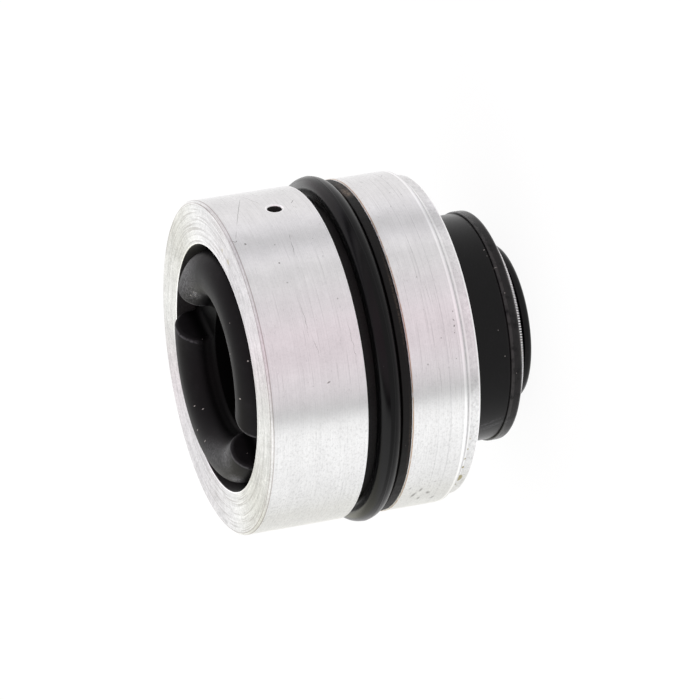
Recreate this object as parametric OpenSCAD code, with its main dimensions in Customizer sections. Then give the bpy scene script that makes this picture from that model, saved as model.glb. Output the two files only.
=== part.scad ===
// Seal head of a rear shock absorber, standing on its seal end with the open end up.
// Depths are measured down from the open face, and z is zero at the tip of the outer seal lip.

/* [Rod] */
// Diameter of the damper rod that runs through the head
rod_d = 18; // [16:0.5:19]
// Radial running clearance between the guide bush and the rod
rod_clearance = 0.03; // [0.02:0.01:0.06]
// Radial gap left between a lip at working size and the rod
lip_gap = 0.02; // [0.01:0.01:0.04]
// Radial gap between the rod and the pieces that never touch it
rod_room = 0.6; // [0.4:0.1:0.9]

/* [Housing] */
// Outer diameter of the two lands
housing_d = 50; // [47:0.5:56]
// Length of the land from the open face to the O-ring groove
front_land = 14.85; // [13:0.05:18]
// Width of the O-ring groove
oring_groove_w = 6.75; // [6.4:0.05:8]
// Depth of the O-ring groove
oring_groove_depth = 2.7; // [2.2:0.05:3.2]
// Length of the stepped shoulder that the stop ring sits on
shoulder_len = 2.1; // [1.8:0.1:4]
// How far the shoulder lies below the lands
shoulder_drop = 0.9; // [0.5:0.05:1.2]
// Bevel on the outer edges of the housing
edge_break = 0.35; // [0.2:0.05:0.6]

/* [Bumper seat] */
// Diameter of the pocket that the bumper stands in
pocket_d = 37; // [36.4:0.1:39]
// Bevel on the mouth of the pocket
pocket_bevel = 0.15; // [0.1:0.05:0.8]
// Depth at which the snap groove for the bumper starts
snap_depth = 3.1; // [2.6:0.1:4]
// How far the snap groove reaches past the pocket's wall
snap_undercut = 0.9; // [0.5:0.1:1.4]
// Depth of the oil chamber under the bumper washer
chamber_len = 3.6; // [3:0.1:5]
// Diameter of the oil chamber
chamber_d = 27; // [25:0.5:31]
// Diameter of the bleed hole from the front land to the chamber
bleed_d = 2.2; // [1.5:0.1:2.8]
// Bevel on the outer rim of the bleed hole
bleed_bevel = 0.15; // [0.05:0.05:0.3]
// Turn of the bleed hole about the axis
bleed_turn = 107; // [0:1:359]

/* [Rebound bumper] */
// Outer diameter of the crown ring
bumper_d = 34.9; // [33.5:0.1:35.6]
// Width of the crown ring, from its hole to its outside
crown_w = 6.95; // [6:0.05:7.4]
// Radius that rounds the crown
crown_r = 3.3; // [2:0.1:3.4]
// How far the crown stands out of the open face
crown_proud = 1.5; // [0.5:0.1:3]
// How much wider the hole is at the crown than at the throat
hole_draft = 0.7; // [0.3:0.05:1.2]
// Height of the base flange that snaps into the housing
flange_h = 2.9; // [2:0.1:4]
// Width of the two oil notches across the crown
notch_w = 6.3; // [5:0.1:8]
// Radius in the two bottom corners of a notch
notch_corner_r = 1; // [0.5:0.1:1.5]
// Radius on the crown's edges beside a notch
notch_edge_r = 0.6; // [0.3:0.05:0.9]
// How far each notch leans off the diameter, in degrees
notch_lean = 4.25; // [0:0.25:10]

/* [Washers and bush] */
// Thickness of the steel washer under the bumper
bumper_washer_t = 1.2; // [0.8:0.1:2]
// How much wider the bumper washer's hole is than the bumper's throat, on the radius
washer_hole_step = 0.4; // [0.2:0.1:1]
// Radial gap round each steel washer in its pocket
washer_gap = 0.15; // [0.1:0.05:0.3]
// Wall of the guide bush
bush_wall = 1; // [0.8:0.1:1.5]
// Length of the guide bush
bush_len = 11.5; // [10:0.1:13]
// How far the bush's upper end lies inside its bore
bush_recess = 0.3; // [0.1:0.1:0.8]
// Bevel on the bush's two outer edges
bush_lead = 0.25; // [0.1:0.05:0.5]
// Gap of the rolled bush's seam
bush_seam = 0.25; // [0.15:0.05:0.4]
// Length of bore between the bush and the oil seal
bush_tail = 0.45; // [0.2:0.05:1.5]
// Thickness of the steel washer between the two seals
seal_washer_t = 0.8; // [0.6:0.1:1.2]

/* [O-ring] */
// Thickness of the O-ring
oring_t = 3.6; // [3.4:0.05:4.1]
// Width of the backup ring beside the O-ring
backup_w = 1.45; // [1.2:0.05:1.8]
// How far the backup ring lies below the lands
backup_drop = 0.1; // [0.05:0.05:0.5]
// Bevel on the backup ring's two outer edges
backup_bevel = 0.18; // [0.1:0.02:0.4]

/* [Oil seal] */
// Outer diameter of the oil seal's pocket
oil_seal_d = 28; // [27.4:0.1:30]
// Length of the oil seal
oil_seal_len = 4.5; // [4.2:0.1:5.5]
// Thickness of the oil seal's outer leg
oil_seal_wall = 1.6; // [1.2:0.1:2]
// Thickness of the heel that joins the leg to the lip
oil_heel_len = 1.6; // [1.2:0.1:2]
// Distance from the oil seal's open end to the edge of its lip
oil_lip_depth = 1.3; // [1:0.1:1.6]
// Rubber between the lip and its garter spring
oil_lip_web = 1.15; // [1:0.05:1.3]
// Thickness of the seal's backup ring
seal_backup_t = 1.2; // [0.8:0.1:1.6]
// Radial gap between that backup ring and the rod
seal_backup_gap = 0.25; // [0.15:0.05:0.4]
// Coil thickness of the inner garter spring
oil_spring_t = 1.2; // [1:0.1:1.4]
// Distance from the oil seal's open end to that spring
oil_spring_inset = 0.5; // [0.3:0.05:0.7]

/* [Dust seal] */
// Diameter of the pocket that holds the dust seal
dust_seal_d = 34.2; // [33.6:0.1:36]
// How deep the dust seal is pressed into the housing
dust_seal_grip = 3; // [2.5:0.1:4]
// Length of the seal's barrel outside the housing
barrel_out = 7.4; // [6:0.1:10]
// Length of the end flange
flange_len = 1.85; // [1.5:0.05:2.5]
// How far the end flange stands out from the barrel
flange_proud = 0.25; // [0.1:0.05:0.6]
// Radius on the flange's outer edge
flange_edge_r = 0.55; // [0.3:0.05:1.3]
// Radius of the fine moulding bead round the flange
bead_r = 0.06; // [0.04:0.02:0.12]
// Distance from the flange's start to the bead
bead_run = 0.45; // [0.3:0.05:0.6]
// How far the lip reaches past the flange
lip_out = 3.75; // [3.4:0.05:4.6]
// Diameter of the lip's head
lip_head_d = 23.7; // [22.8:0.1:24.6]
// Length of the lip's head
lip_head_len = 1.6; // [1.3:0.1:1.9]
// Radius on the outer edge of the lip's head
nose_r = 0.8; // [0.4:0.05:1]
// How far the waist behind the lip's head lies below it
waist_drop = 0.9; // [0.5:0.1:1.2]
// Length of the inner wiping lip, from the seal's inner face to the grease chamber
inner_lip_len = 2.6; // [2.2:0.1:3.2]
// Length of the outer lip, from the grease chamber to the seal's tip
outer_lip_len = 3.4; // [3:0.1:4]
// How far the grease chamber's wall lies outside the roots of the lips
grease_room = 0.6; // [0.4:0.1:0.9]
// Coil thickness of the outer garter spring
dust_spring_t = 1.4; // [1.1:0.1:1.6]
// Diameter of the neck that the outer garter spring hugs
spring_neck_d = 27.8; // [27:0.1:28.4]

/* [Hidden] */
$fn = 96;

// Gap between round pieces that seat on each other
seat_gap = 0.02;
// Overlap that keeps cutters clear of the faces they open
cut = 0.5;
// Axial play of the bumper's flange in the snap groove, and the radial gap round it
snap_play = 0.05;
snap_gap = 0.1;
// Radial lead-in from a lip's edge to its root
lip_lead = 0.5;

// Radii
housing_r = housing_d / 2;
pocket_r = pocket_d / 2;
snap_r = pocket_r + snap_undercut;
chamber_r = chamber_d / 2;
rod_r = rod_d / 2;
lip_r = rod_r + lip_gap;
bush_r = rod_r + rod_clearance + bush_wall;
dust_pocket_r = dust_seal_d / 2;
oil_pocket_r = oil_seal_d / 2;
clear_r = rod_r + rod_room;

// Depths of the stack inside, from the open face down: the stack sets the housing's length
flange_top = snap_depth + snap_play;
snap_end = flange_top + flange_h;
ledge = snap_end + bumper_washer_t;
chamber_end = ledge + chamber_len;
bush_top = chamber_end + bush_recess;
oil_pocket_top = bush_top + bush_len + bush_tail;
dust_pocket_top = oil_pocket_top + oil_seal_len + seal_backup_t;
dust_top = dust_pocket_top + seal_washer_t;
body_len = dust_top + dust_seal_grip;

// Depths of the housing's outside, from the open face down: the rear land takes what is left
groove_top = front_land;
groove_end = groove_top + oring_groove_w;
shoulder_top = body_len - shoulder_len;

// Depths of the dust seal outside the housing
flange_start = body_len + barrel_out;
flange_end = flange_start + flange_len;
lip_end = flange_end + lip_out;
face_z = lip_end;

// Sizes of the bumper
bumper_r = bumper_d / 2;
hole_r = bumper_r - crown_w;
throat_r = hole_r - hole_draft;
notch_floor = flange_top;

// Turns a profile that is drawn as radius across and depth down
module turned() {
    translate([0, 0, face_z]) mirror([0, 0, 1]) rotate_extrude() children();
}

// Places a cutter that is drawn with depth along +Z
module sunk() {
    translate([0, 0, face_z]) mirror([0, 0, 1]) children();
}

// Rectangle from radius r1 to r2 and from depth d1 to d2
module band(r1, r2, d1, d2) {
    translate([r1, d1]) square([r2 - r1, d2 - d1]);
}

// Turned aluminium housing: two lands, the O-ring groove, the shoulder and the stepped bore
module seal_head_body() {
    color("#d8d9de") difference() {
        turned() difference() {
            polygon([
                [bush_r + seat_gap, 0],
                [housing_r - edge_break, 0],
                [housing_r, edge_break],
                [housing_r, shoulder_top - edge_break],
                [housing_r - edge_break, shoulder_top],
                [housing_r - shoulder_drop, shoulder_top],
                [housing_r - shoulder_drop, body_len - edge_break],
                [housing_r - shoulder_drop - edge_break, body_len],
                [bush_r + seat_gap, body_len]
            ]);
            oring_groove();
            bumper_pocket();
            seal_pockets();
        }
        bleed_hole();
    }
}

// Bleed hole from the front land into the oil chamber, with its outer rim bevelled
module bleed_hole() {
    rim_r = bleed_d / 2 + bleed_bevel;
    wall = housing_r - chamber_r;
    sunk() rotate([0, 0, bleed_turn]) translate([0, 0, (ledge + chamber_end) / 2]) rotate([0, 90, 0]) {
        translate([0, 0, chamber_r - cut]) cylinder(h = wall + 2 * cut, d = bleed_d, $fn = 48);
        translate([0, 0, housing_r - bleed_bevel])
            cylinder(h = bleed_bevel + cut, r1 = rim_r - bleed_bevel, r2 = rim_r + cut, $fn = 48);
    }
}

// Groove for the O-ring and its backup ring, with its two edges broken
module oring_groove() {
    nick = edge_break / 2;
    band(housing_r - oring_groove_depth, housing_r + cut, groove_top, groove_end);
    polygon([[housing_r - nick, groove_top + nick / 4], [housing_r + nick / 4, groove_top - nick],
             [housing_r + nick / 4, groove_top + nick / 4]]);
    polygon([[housing_r - nick, groove_end - nick / 4], [housing_r + nick / 4, groove_end + nick],
             [housing_r + nick / 4, groove_end - nick / 4]]);
}

// Pocket, snap groove, washer seat and oil chamber at the open end
module bumper_pocket() {
    polygon([[0, -cut], [pocket_r + pocket_bevel + cut, -cut], [pocket_r, pocket_bevel], [0, pocket_bevel]]);
    band(0, pocket_r, 0, ledge);
    band(0, snap_r, snap_depth, snap_end);
    band(0, chamber_r, 0, chamber_end);
    polygon([[0, chamber_end - cut], [bush_r + 2 * bush_recess + cut, chamber_end - cut],
             [bush_r + bush_recess, chamber_end], [bush_r, chamber_end + bush_recess],
             [0, chamber_end + cut]]);
}

// Pockets of the oil seal and the dust seal at the seal end
module seal_pockets() {
    band(0, oil_pocket_r, oil_pocket_top, body_len + cut);
    band(0, dust_pocket_r, dust_pocket_top, body_len + cut);
    polygon([[0, body_len - edge_break], [dust_pocket_r, body_len - edge_break],
             [dust_pocket_r + edge_break + cut, body_len + cut], [0, body_len + cut]]);
}

// O-ring that seals the housing in the damper tube
module body_o_ring() {
    seat_r = housing_r - oring_groove_depth + seat_gap + oring_t / 2;
    color("#242326") turned() translate([seat_r, groove_end - 2 * seat_gap - backup_w - oring_t / 2])
        circle(d = oring_t);
}

// Backup ring that keeps the O-ring off the groove's rear wall
module body_backup_ring() {
    inner = housing_r - oring_groove_depth + seat_gap;
    outer = housing_r - backup_drop;
    top = groove_end - seat_gap - backup_w;
    color("#2c2b2e") turned() polygon([
        [inner, top], [outer - backup_bevel, top], [outer, top + backup_bevel],
        [outer, groove_end - seat_gap - backup_bevel], [outer - backup_bevel, groove_end - seat_gap],
        [inner, groove_end - seat_gap]
    ]);
}

// Section of the bumper: flange, tapered hole and rounded crown
module bumper_section() {
    crown_top = -crown_proud;
    round_depth = crown_top + crown_r;
    lip = hole_draft / 2;
    band(throat_r, snap_r - snap_gap, flange_top, snap_end - seat_gap);
    polygon([[throat_r + lip, flange_top + cut], [throat_r, flange_top + cut], [throat_r, flange_top],
             [throat_r + lip, flange_top - lip], [hole_r, round_depth], [bumper_r, round_depth],
             [bumper_r, flange_top + cut]]);
    band(hole_r + crown_r, bumper_r - crown_r, crown_top, round_depth + cut);
    for (r = [hole_r + crown_r, bumper_r - crown_r]) intersection() {
        translate([r, round_depth]) circle(r = crown_r);
        band(hole_r, bumper_r, crown_top - cut, round_depth + cut / 10);
    }
}

// Section of one notch, across and down: rounded corners at the floor and rounded edges at the crown.
// The edge circles stand a little high, so that they meet the crown at a slight angle.
module notch_section() {
    half = notch_w / 2;
    corner = half - notch_corner_r;
    deep = notch_floor - notch_corner_r;
    edge = notch_edge_r - crown_proud - notch_edge_r / 12;
    translate([-half, -crown_proud - cut]) square([notch_w, deep + crown_proud + cut]);
    translate([-corner, deep - cut]) square([2 * corner, notch_corner_r + cut]);
    for (side = [-1, 1]) {
        translate([side * corner, deep]) circle(r = notch_corner_r, $fn = 48);
        difference() {
            translate([side * (half + notch_edge_r / 2) - notch_edge_r / 2, -crown_proud - cut])
                square([notch_edge_r, edge + crown_proud + cut]);
            translate([side * (half + notch_edge_r), edge]) circle(r = notch_edge_r, $fn = 48);
        }
    }
}

// Cutter of one notch, along +X
module notch_cutter() {
    rotate([90, 0, 90]) linear_extrude(bumper_r + cut) notch_section();
}

// Rubber rebound bumper: a rounded crown ring with two oil notches on a flange that snaps in
module rebound_bumper() {
    color("#2a292c") difference() {
        turned() bumper_section();
        for (turn = [-notch_lean, 180 + notch_lean])
            sunk() rotate([0, 0, turn]) notch_cutter();
    }
}

// Steel washer that the bumper stands on
module bumper_washer() {
    color("#9a9ca2") turned()
        band(throat_r + washer_hole_step, pocket_r - washer_gap, snap_end, ledge - seat_gap);
}

// Rolled guide bush with its seam
module guide_bush() {
    bush_end = bush_top + bush_len;
    color("#8c7f6c") difference() {
        turned() polygon([
            [rod_r + rod_clearance, bush_top], [bush_r - bush_lead, bush_top],
            [bush_r, bush_top + bush_lead], [bush_r, bush_end - bush_lead],
            [bush_r - bush_lead, bush_end], [rod_r + rod_clearance, bush_end]
        ]);
        sunk() rotate([0, 0, 270]) translate([rod_r - cut, -bush_seam / 2, bush_top - cut])
            cube([bush_wall + 2 * cut, bush_seam, bush_len + 2 * cut]);
    }
}

// Middle of the groove that the inner garter spring lies in, as radius and depth
oil_spring_r = lip_r + oil_lip_web + oil_spring_t / 2;
oil_spring_depth = oil_pocket_top + oil_spring_inset + oil_spring_t / 2;

// Inner oil seal: outer leg, heel and a lip that the garter spring closes on the rod
module oil_seal() {
    top = oil_pocket_top + seat_gap;
    heel = oil_pocket_top + oil_seal_len - oil_heel_len;
    end = oil_pocket_top + oil_seal_len - seat_gap;
    outer = oil_pocket_r - seat_gap;
    color("#2b2a2d") turned() difference() {
        union() {
            band(outer - oil_seal_wall, outer, top, end);
            band(clear_r, outer, heel, end);
            polygon([[lip_r + lip_lead, top], [oil_spring_r, top], [oil_spring_r, heel + cut],
                     [clear_r, heel + cut], [clear_r, heel], [lip_r, top + oil_lip_depth]]);
        }
        translate([oil_spring_r, oil_spring_depth]) circle(d = oil_spring_t + 2 * seat_gap, $fn = 48);
    }
}

// Inner garter spring
module oil_seal_spring() {
    color("#b9bbc0") turned() translate([oil_spring_r, oil_spring_depth]) circle(d = oil_spring_t, $fn = 48);
}

// Ring that backs the oil seal against pressure
module oil_seal_backup_ring() {
    top = oil_pocket_top + oil_seal_len;
    color("#e4e0d4") turned()
        band(rod_r + seal_backup_gap, oil_pocket_r - seat_gap, top, top + seal_backup_t - seat_gap);
}

// Steel washer between the oil seal and the dust seal
module seal_washer() {
    color("#9a9ca2") turned() band(clear_r, dust_pocket_r - washer_gap, dust_pocket_top, dust_top - seat_gap);
}

// Place of the outer garter spring, as radius and depth
dust_spring_r = (spring_neck_d + dust_spring_t) / 2;
dust_spring_depth = flange_end + dust_spring_t * 0.3;

// Section of the dust seal: barrel, end flange with its bead, neck, waist and lip head
module dust_seal_section() {
    barrel_r = dust_pocket_r - seat_gap;
    flange_r = dust_pocket_r + flange_proud;
    neck_r = spring_neck_d / 2;
    head_r = lip_head_d / 2;
    waist_r = head_r - waist_drop;
    head_start = lip_end - lip_head_len;
    head_slope = lip_head_len / 5;
    waist_depth = head_start - waist_drop / 2;
    neck_end = dust_spring_depth + dust_spring_t / 3;
    groove_r = dust_spring_t / 2 + seat_gap;
    difference() {
        union() {
            polygon([[0, dust_top], [barrel_r - edge_break, dust_top], [barrel_r, dust_top + edge_break],
                     [barrel_r, flange_start], [flange_r, flange_start],
                     [flange_r, flange_end - flange_edge_r], [flange_r - flange_edge_r, flange_end],
                     [0, flange_end]]);
            translate([flange_r - flange_edge_r, flange_end - flange_edge_r]) circle(r = flange_edge_r);
            translate([flange_r, flange_start + bead_run]) circle(r = bead_r, $fn = 24);
            polygon([[0, flange_end - cut], [neck_r, flange_end - cut], [neck_r, neck_end],
                     [waist_r, waist_depth], [waist_r, head_start], [head_r, head_start + head_slope],
                     [head_r, lip_end - nose_r], [head_r - nose_r, lip_end], [0, lip_end]]);
            translate([head_r - nose_r, lip_end - nose_r]) circle(r = nose_r);
        }
        translate([dust_spring_r, dust_spring_depth]) circle(r = groove_r, $fn = 48);
        polygon([[neck_r, dust_spring_depth], [dust_spring_r + groove_r + bead_r, dust_spring_depth],
                 [dust_spring_r + groove_r + 2 * bead_r, flange_end + cut], [neck_r, flange_end + cut]]);
        translate([barrel_r, flange_start]) circle(r = 1.5 * bead_r, $fn = 24);
        dust_seal_bore();
    }
}

// Bore of the dust seal: two lips at working size with a grease chamber between them
module dust_seal_bore() {
    root_r = clear_r + lip_lead;
    grease_r = root_r + grease_room;
    inner_edge = dust_top + inner_lip_len / 2;
    outer_edge = lip_end - outer_lip_len / 3;
    chamber_start = dust_top + inner_lip_len;
    chamber_stop = lip_end - outer_lip_len;
    polygon([[0, dust_top - cut], [root_r + cut, dust_top - cut], [lip_r, inner_edge],
             [root_r, chamber_start], [grease_r, chamber_start + grease_room],
             [grease_r, chamber_stop - grease_room], [root_r, chamber_stop], [lip_r, outer_edge],
             [root_r + cut, lip_end + cut], [0, lip_end + cut]]);
}

// Outer dust seal of black rubber
module dust_seal() {
    color("#302f33") turned() dust_seal_section();
}

// Garter spring in the open round the lip's neck
module dust_seal_spring() {
    color("#c9cbd0") turned()
        translate([dust_spring_r, dust_spring_depth]) circle(d = dust_spring_t, $fn = 48);
}

seal_head_body();
body_o_ring();
body_backup_ring();
rebound_bumper();
bumper_washer();
guide_bush();
oil_seal();
oil_seal_spring();
oil_seal_backup_ring();
seal_washer();
dust_seal();
dust_seal_spring();
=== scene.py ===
"""Looks of the seal head of a rear shock absorber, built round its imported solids.

Sizes are in millimetres, as a maker would write them. Names that end in _r are radii from the part's
axis, and names that end in _t are thicknesses. A depth is measured from the housing's open face down,
so that a point at depth d lies at the height of that face less d. An azimuth turns about the axis from
+X towards +Y, in degrees.
"""

import logging
import math
from dataclasses import dataclass, replace
from enum import Enum
from typing import Optional, Sequence, Union

import bmesh
import bpy
import numpy as np
from mathutils import Matrix, Vector


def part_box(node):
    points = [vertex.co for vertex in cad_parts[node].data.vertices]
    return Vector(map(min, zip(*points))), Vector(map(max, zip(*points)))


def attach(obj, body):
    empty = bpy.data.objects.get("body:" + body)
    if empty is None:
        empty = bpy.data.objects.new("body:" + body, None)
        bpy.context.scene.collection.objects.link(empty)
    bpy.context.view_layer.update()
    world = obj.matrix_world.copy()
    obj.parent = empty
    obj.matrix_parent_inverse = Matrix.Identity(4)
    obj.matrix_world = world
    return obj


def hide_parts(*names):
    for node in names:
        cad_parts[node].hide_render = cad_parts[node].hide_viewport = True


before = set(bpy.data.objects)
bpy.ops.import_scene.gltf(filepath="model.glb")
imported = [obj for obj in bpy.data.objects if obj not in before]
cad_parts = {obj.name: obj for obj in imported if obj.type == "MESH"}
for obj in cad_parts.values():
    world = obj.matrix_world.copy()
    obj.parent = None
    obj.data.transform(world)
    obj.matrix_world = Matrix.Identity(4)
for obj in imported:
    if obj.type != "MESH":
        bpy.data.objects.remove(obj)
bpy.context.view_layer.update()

Array = np.ndarray
Colour = tuple[float, float, float]
Corner = tuple[float, float, float]
Value = Union["Wire", float]
Sockets = dict[str, Value]

log = logging.getLogger("seal_head")

MM = 0.001
LAND_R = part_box("seal_head_body")[1].x / MM
FACE_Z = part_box("seal_head_body")[1].z / MM
ROD_R = 9.0
LIP_R = ROD_R + 0.02
POCKET_R = 18.5
GROOVE = (14.85, 21.6)
NOTCH_LEAN = 4.25
WHITE = (1.0, 1.0, 1.0)
BODY = "root"


def linear(screen: str) -> Colour:
    """Turns a colour as seen on a screen into the linear values that shaders use.

    Args:
        screen: Six hexadecimal digits, red first.

    Returns:
        The linear red, green and blue.
    """
    parts = [int(screen[i:i + 2], 16) / 255 for i in (0, 2, 4)]
    return tuple(p / 12.92 if p <= 0.04045 else ((p + 0.055) / 1.055) ** 2.4 for p in parts)


def rounded(corners: Sequence[Corner], steps: int = 3, lead: float = 0.04) -> Array:
    """Rounds every corner of a closed outline with an arc that touches its two sides.

    A side leaves the arc at radius / tan(half the corner's angle) from the corner, and the arc's
    middle lies at radius / sin(half the angle) on the bisector. The points between are the two end
    spokes weighted by the sines of the remaining turns. One more point on each side, a little
    before and after the arc, keeps the flat stretches flat when the shape is shaded smooth.

    Args:
        corners: Radius, depth and rounding radius of each corner, in order.
        steps: Steps along each arc.
        lead: Longest distance of the extra points from the arc.

    Returns:
        The outline's points, radius and depth.
    """
    table = np.array(corners, float)
    tip, bend = table[:, :2], table[:, 2:]
    back, ahead = np.roll(tip, 1, 0) - tip, np.roll(tip, -1, 0) - tip
    room = np.minimum(np.linalg.norm(back, axis=1), np.linalg.norm(ahead, axis=1))[:, None]
    back /= np.linalg.norm(back, axis=1)[:, None]
    ahead /= np.linalg.norm(ahead, axis=1)[:, None]
    angle = np.arccos(np.clip((back * ahead).sum(1), -1, 1))[:, None]
    reach = bend / np.tan(angle / 2)
    bisector = (back + ahead) / np.linalg.norm(back + ahead, axis=1)[:, None]
    middle = tip + bisector * bend / np.sin(angle / 2)
    sweep = math.pi - angle
    share = np.linspace(0, 1, steps + 1)[None, :, None]
    first, last = (tip + side * reach - middle for side in (back, ahead))
    arcs = (np.sin((1 - share) * sweep[:, None]) * first[:, None]
            + np.sin(share * sweep[:, None]) * last[:, None]) / np.sin(sweep)[:, None]
    spare = np.clip((room / 2 - reach) / 2, 0.002, lead)
    before, after = (tip + side * (reach + spare) for side in (back, ahead))
    return np.concatenate((before[:, None], arcs + middle[:, None], after[:, None]), 1).reshape(-1, 2)


def arc(middle: tuple[float, float], radius: float, start: float, stop: float, steps: int) -> Array:
    """Points of an arc in the plane of radius and depth.

    Args:
        middle: Radius and depth of the arc's middle.
        radius: The arc's own radius.
        start: Angle of the first point, from 0 outwards to 90 upwards.
        stop: Angle of the last point.
        steps: Steps between them.

    Returns:
        The points, radius and depth.
    """
    angle = np.radians(np.linspace(start, stop, steps + 1))
    return np.column_stack((middle[0] + radius * np.cos(angle), middle[1] - radius * np.sin(angle)))


def turned(outline: Array, azimuths: Array) -> Array:
    """Carries an outline round the axis.

    A point at radius r, depth d and azimuth a lies at (r cos a, r sin a, face height - d).

    Args:
        outline: Radius and depth of each point, with any leading axes before the last.
        azimuths: Azimuths in radians, one for each column or one for each point.

    Returns:
        The grid of points, one row for each point of the outline.
    """
    radius, depth = outline[..., 0], outline[..., 1]
    if radius.ndim == 1:
        radius, depth = radius[:, None], depth[:, None]
    x, y = radius * np.cos(azimuths), radius * np.sin(azimuths)
    return np.stack((x, y, np.broadcast_to(FACE_Z - depth, x.shape)), -1)


def round_about(columns: int) -> Array:
    """Evenly spaced azimuths of a full turn, in radians."""
    return np.linspace(0, 2 * math.pi, columns, endpoint=False)


class Skin:
    """A closed surface put together from grids of points."""

    def __init__(self) -> None:
        """Starts with no points."""
        self.points: list[Array] = []
        self.faces: list[Array] = []
        self.size = 0

    def lay(self, grid: Array, close_rows: bool = False, close_columns: bool = False,
            keep: Optional[Array] = None) -> "Skin":
        """Adds a grid of points, with a four-sided face between each four of them.

        Args:
            grid: Rows by columns by three, in millimetres.
            close_rows: Whether the last row joins the first.
            close_columns: Whether the last column joins the first.
            keep: Which of the faces are laid; all of them if it is left out.

        Returns:
            The skin itself.
        """
        index = np.arange(grid.shape[0] * grid.shape[1]).reshape(grid.shape[:2]) + self.size
        index = np.vstack((index, index[:1])) if close_rows else index
        index = np.hstack((index, index[:, :1])) if close_columns else index
        faces = np.stack((index[:-1, :-1], index[:-1, 1:], index[1:, 1:], index[1:, :-1]), -1)
        self.faces.append(faces.reshape(-1, 4) if keep is None else faces[keep])
        self.points.append(grid.reshape(-1, 3))
        self.size += grid.shape[0] * grid.shape[1]
        return self

    def piece(self, name: str, weld: float = 0.001) -> bpy.types.Object:
        """Makes the object: its doubles are merged and its faces point outwards.

        Args:
            name: The piece's name.
            weld: Points closer than this are merged, in millimetres.

        Returns:
            The object, at the origin.
        """
        mesh = bpy.data.meshes.new(name)
        mesh.from_pydata(np.concatenate(self.points) * MM, [], np.concatenate(self.faces))
        work = bmesh.new()
        work.from_mesh(mesh)
        bmesh.ops.remove_doubles(work, verts=work.verts, dist=weld * MM)
        bmesh.ops.recalc_face_normals(work, faces=work.faces)
        work.to_mesh(mesh)
        work.free()
        mesh.shade_smooth()
        made = bpy.data.objects.new(name, mesh)
        bpy.context.scene.collection.objects.link(made)
        return made


class Operation(Enum):
    """What a Math node can work out, by Blender's own names."""

    ADD = "ADD"
    SUBTRACT = "SUBTRACT"
    MULTIPLY = "MULTIPLY"
    MULTIPLY_ADD = "MULTIPLY_ADD"
    DIVIDE = "DIVIDE"
    ABSOLUTE = "ABSOLUTE"
    MAXIMUM = "MAXIMUM"
    SQUARE_ROOT = "SQRT"
    COSINE = "COSINE"
    ANGLE = "ARCTAN2"


class Ease(Enum):
    """How a ramp runs between its two ends."""

    SMOOTH = "SMOOTHSTEP"
    STRAIGHT = "LINEAR"


class Wire:
    """One output socket of a shader node, with the arithmetic that joins it to others."""

    def __init__(self, graph: "Graph", socket: bpy.types.NodeSocket) -> None:
        """Keeps the socket and the graph that it belongs to."""
        self.graph = graph
        self.socket = socket

    def math(self, operation: Operation, *others: Value) -> "Wire":
        """Adds a Math node that has this value first.

        Args:
            operation: What the node works out.
            others: The second and third value, where the operation has them.

        Returns:
            The node's result.
        """
        inputs = dict(enumerate((self, *others)))
        return self.graph.add("ShaderNodeMath", inputs, {"operation": operation.value})

    def __add__(self, other: Value) -> "Wire":
        """Sum."""
        return self.math(Operation.ADD, other)

    __radd__ = __add__

    def __sub__(self, other: Value) -> "Wire":
        """Difference."""
        return self.math(Operation.SUBTRACT, other)

    def __rsub__(self, other: float) -> "Wire":
        """Difference from a plain number."""
        return self.math(Operation.MULTIPLY_ADD, -1.0, other)

    def __mul__(self, other: Value) -> "Wire":
        """Product."""
        return self.math(Operation.MULTIPLY, other)

    __rmul__ = __mul__

    def __truediv__(self, other: Value) -> "Wire":
        """Quotient."""
        return self.math(Operation.DIVIDE, other)

    def __abs__(self) -> "Wire":
        """The value without its sign."""
        return self.math(Operation.ABSOLUTE)

    def most(self, *others: Value) -> "Wire":
        """Finds the largest of several values.

        Args:
            others: The values beside this one.

        Returns:
            The largest.
        """
        found = self
        for other in others:
            found = found.math(Operation.MAXIMUM, other)
        return found

    def ramp(self, low: float, high: float, ease: Ease = Ease.SMOOTH) -> "Wire":
        """Rises from 0 at low to 1 at high, or falls where low is the larger.

        Args:
            low: Value at which the result is 0.
            high: Value at which the result is 1.
            ease: How it runs between the two.

        Returns:
            The share between 0 and 1.
        """
        inputs = {"Value": self, "From Min": low, "From Max": high}
        return self.graph.add("ShaderNodeMapRange", inputs, {"interpolation_type": ease.value})


@dataclass(frozen=True)
class Pattern:
    """Value noise: its features in a unit of length, its layers of detail and how strong these are."""

    scale: float
    detail: float = 2.0
    rough: float = 0.5


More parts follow.
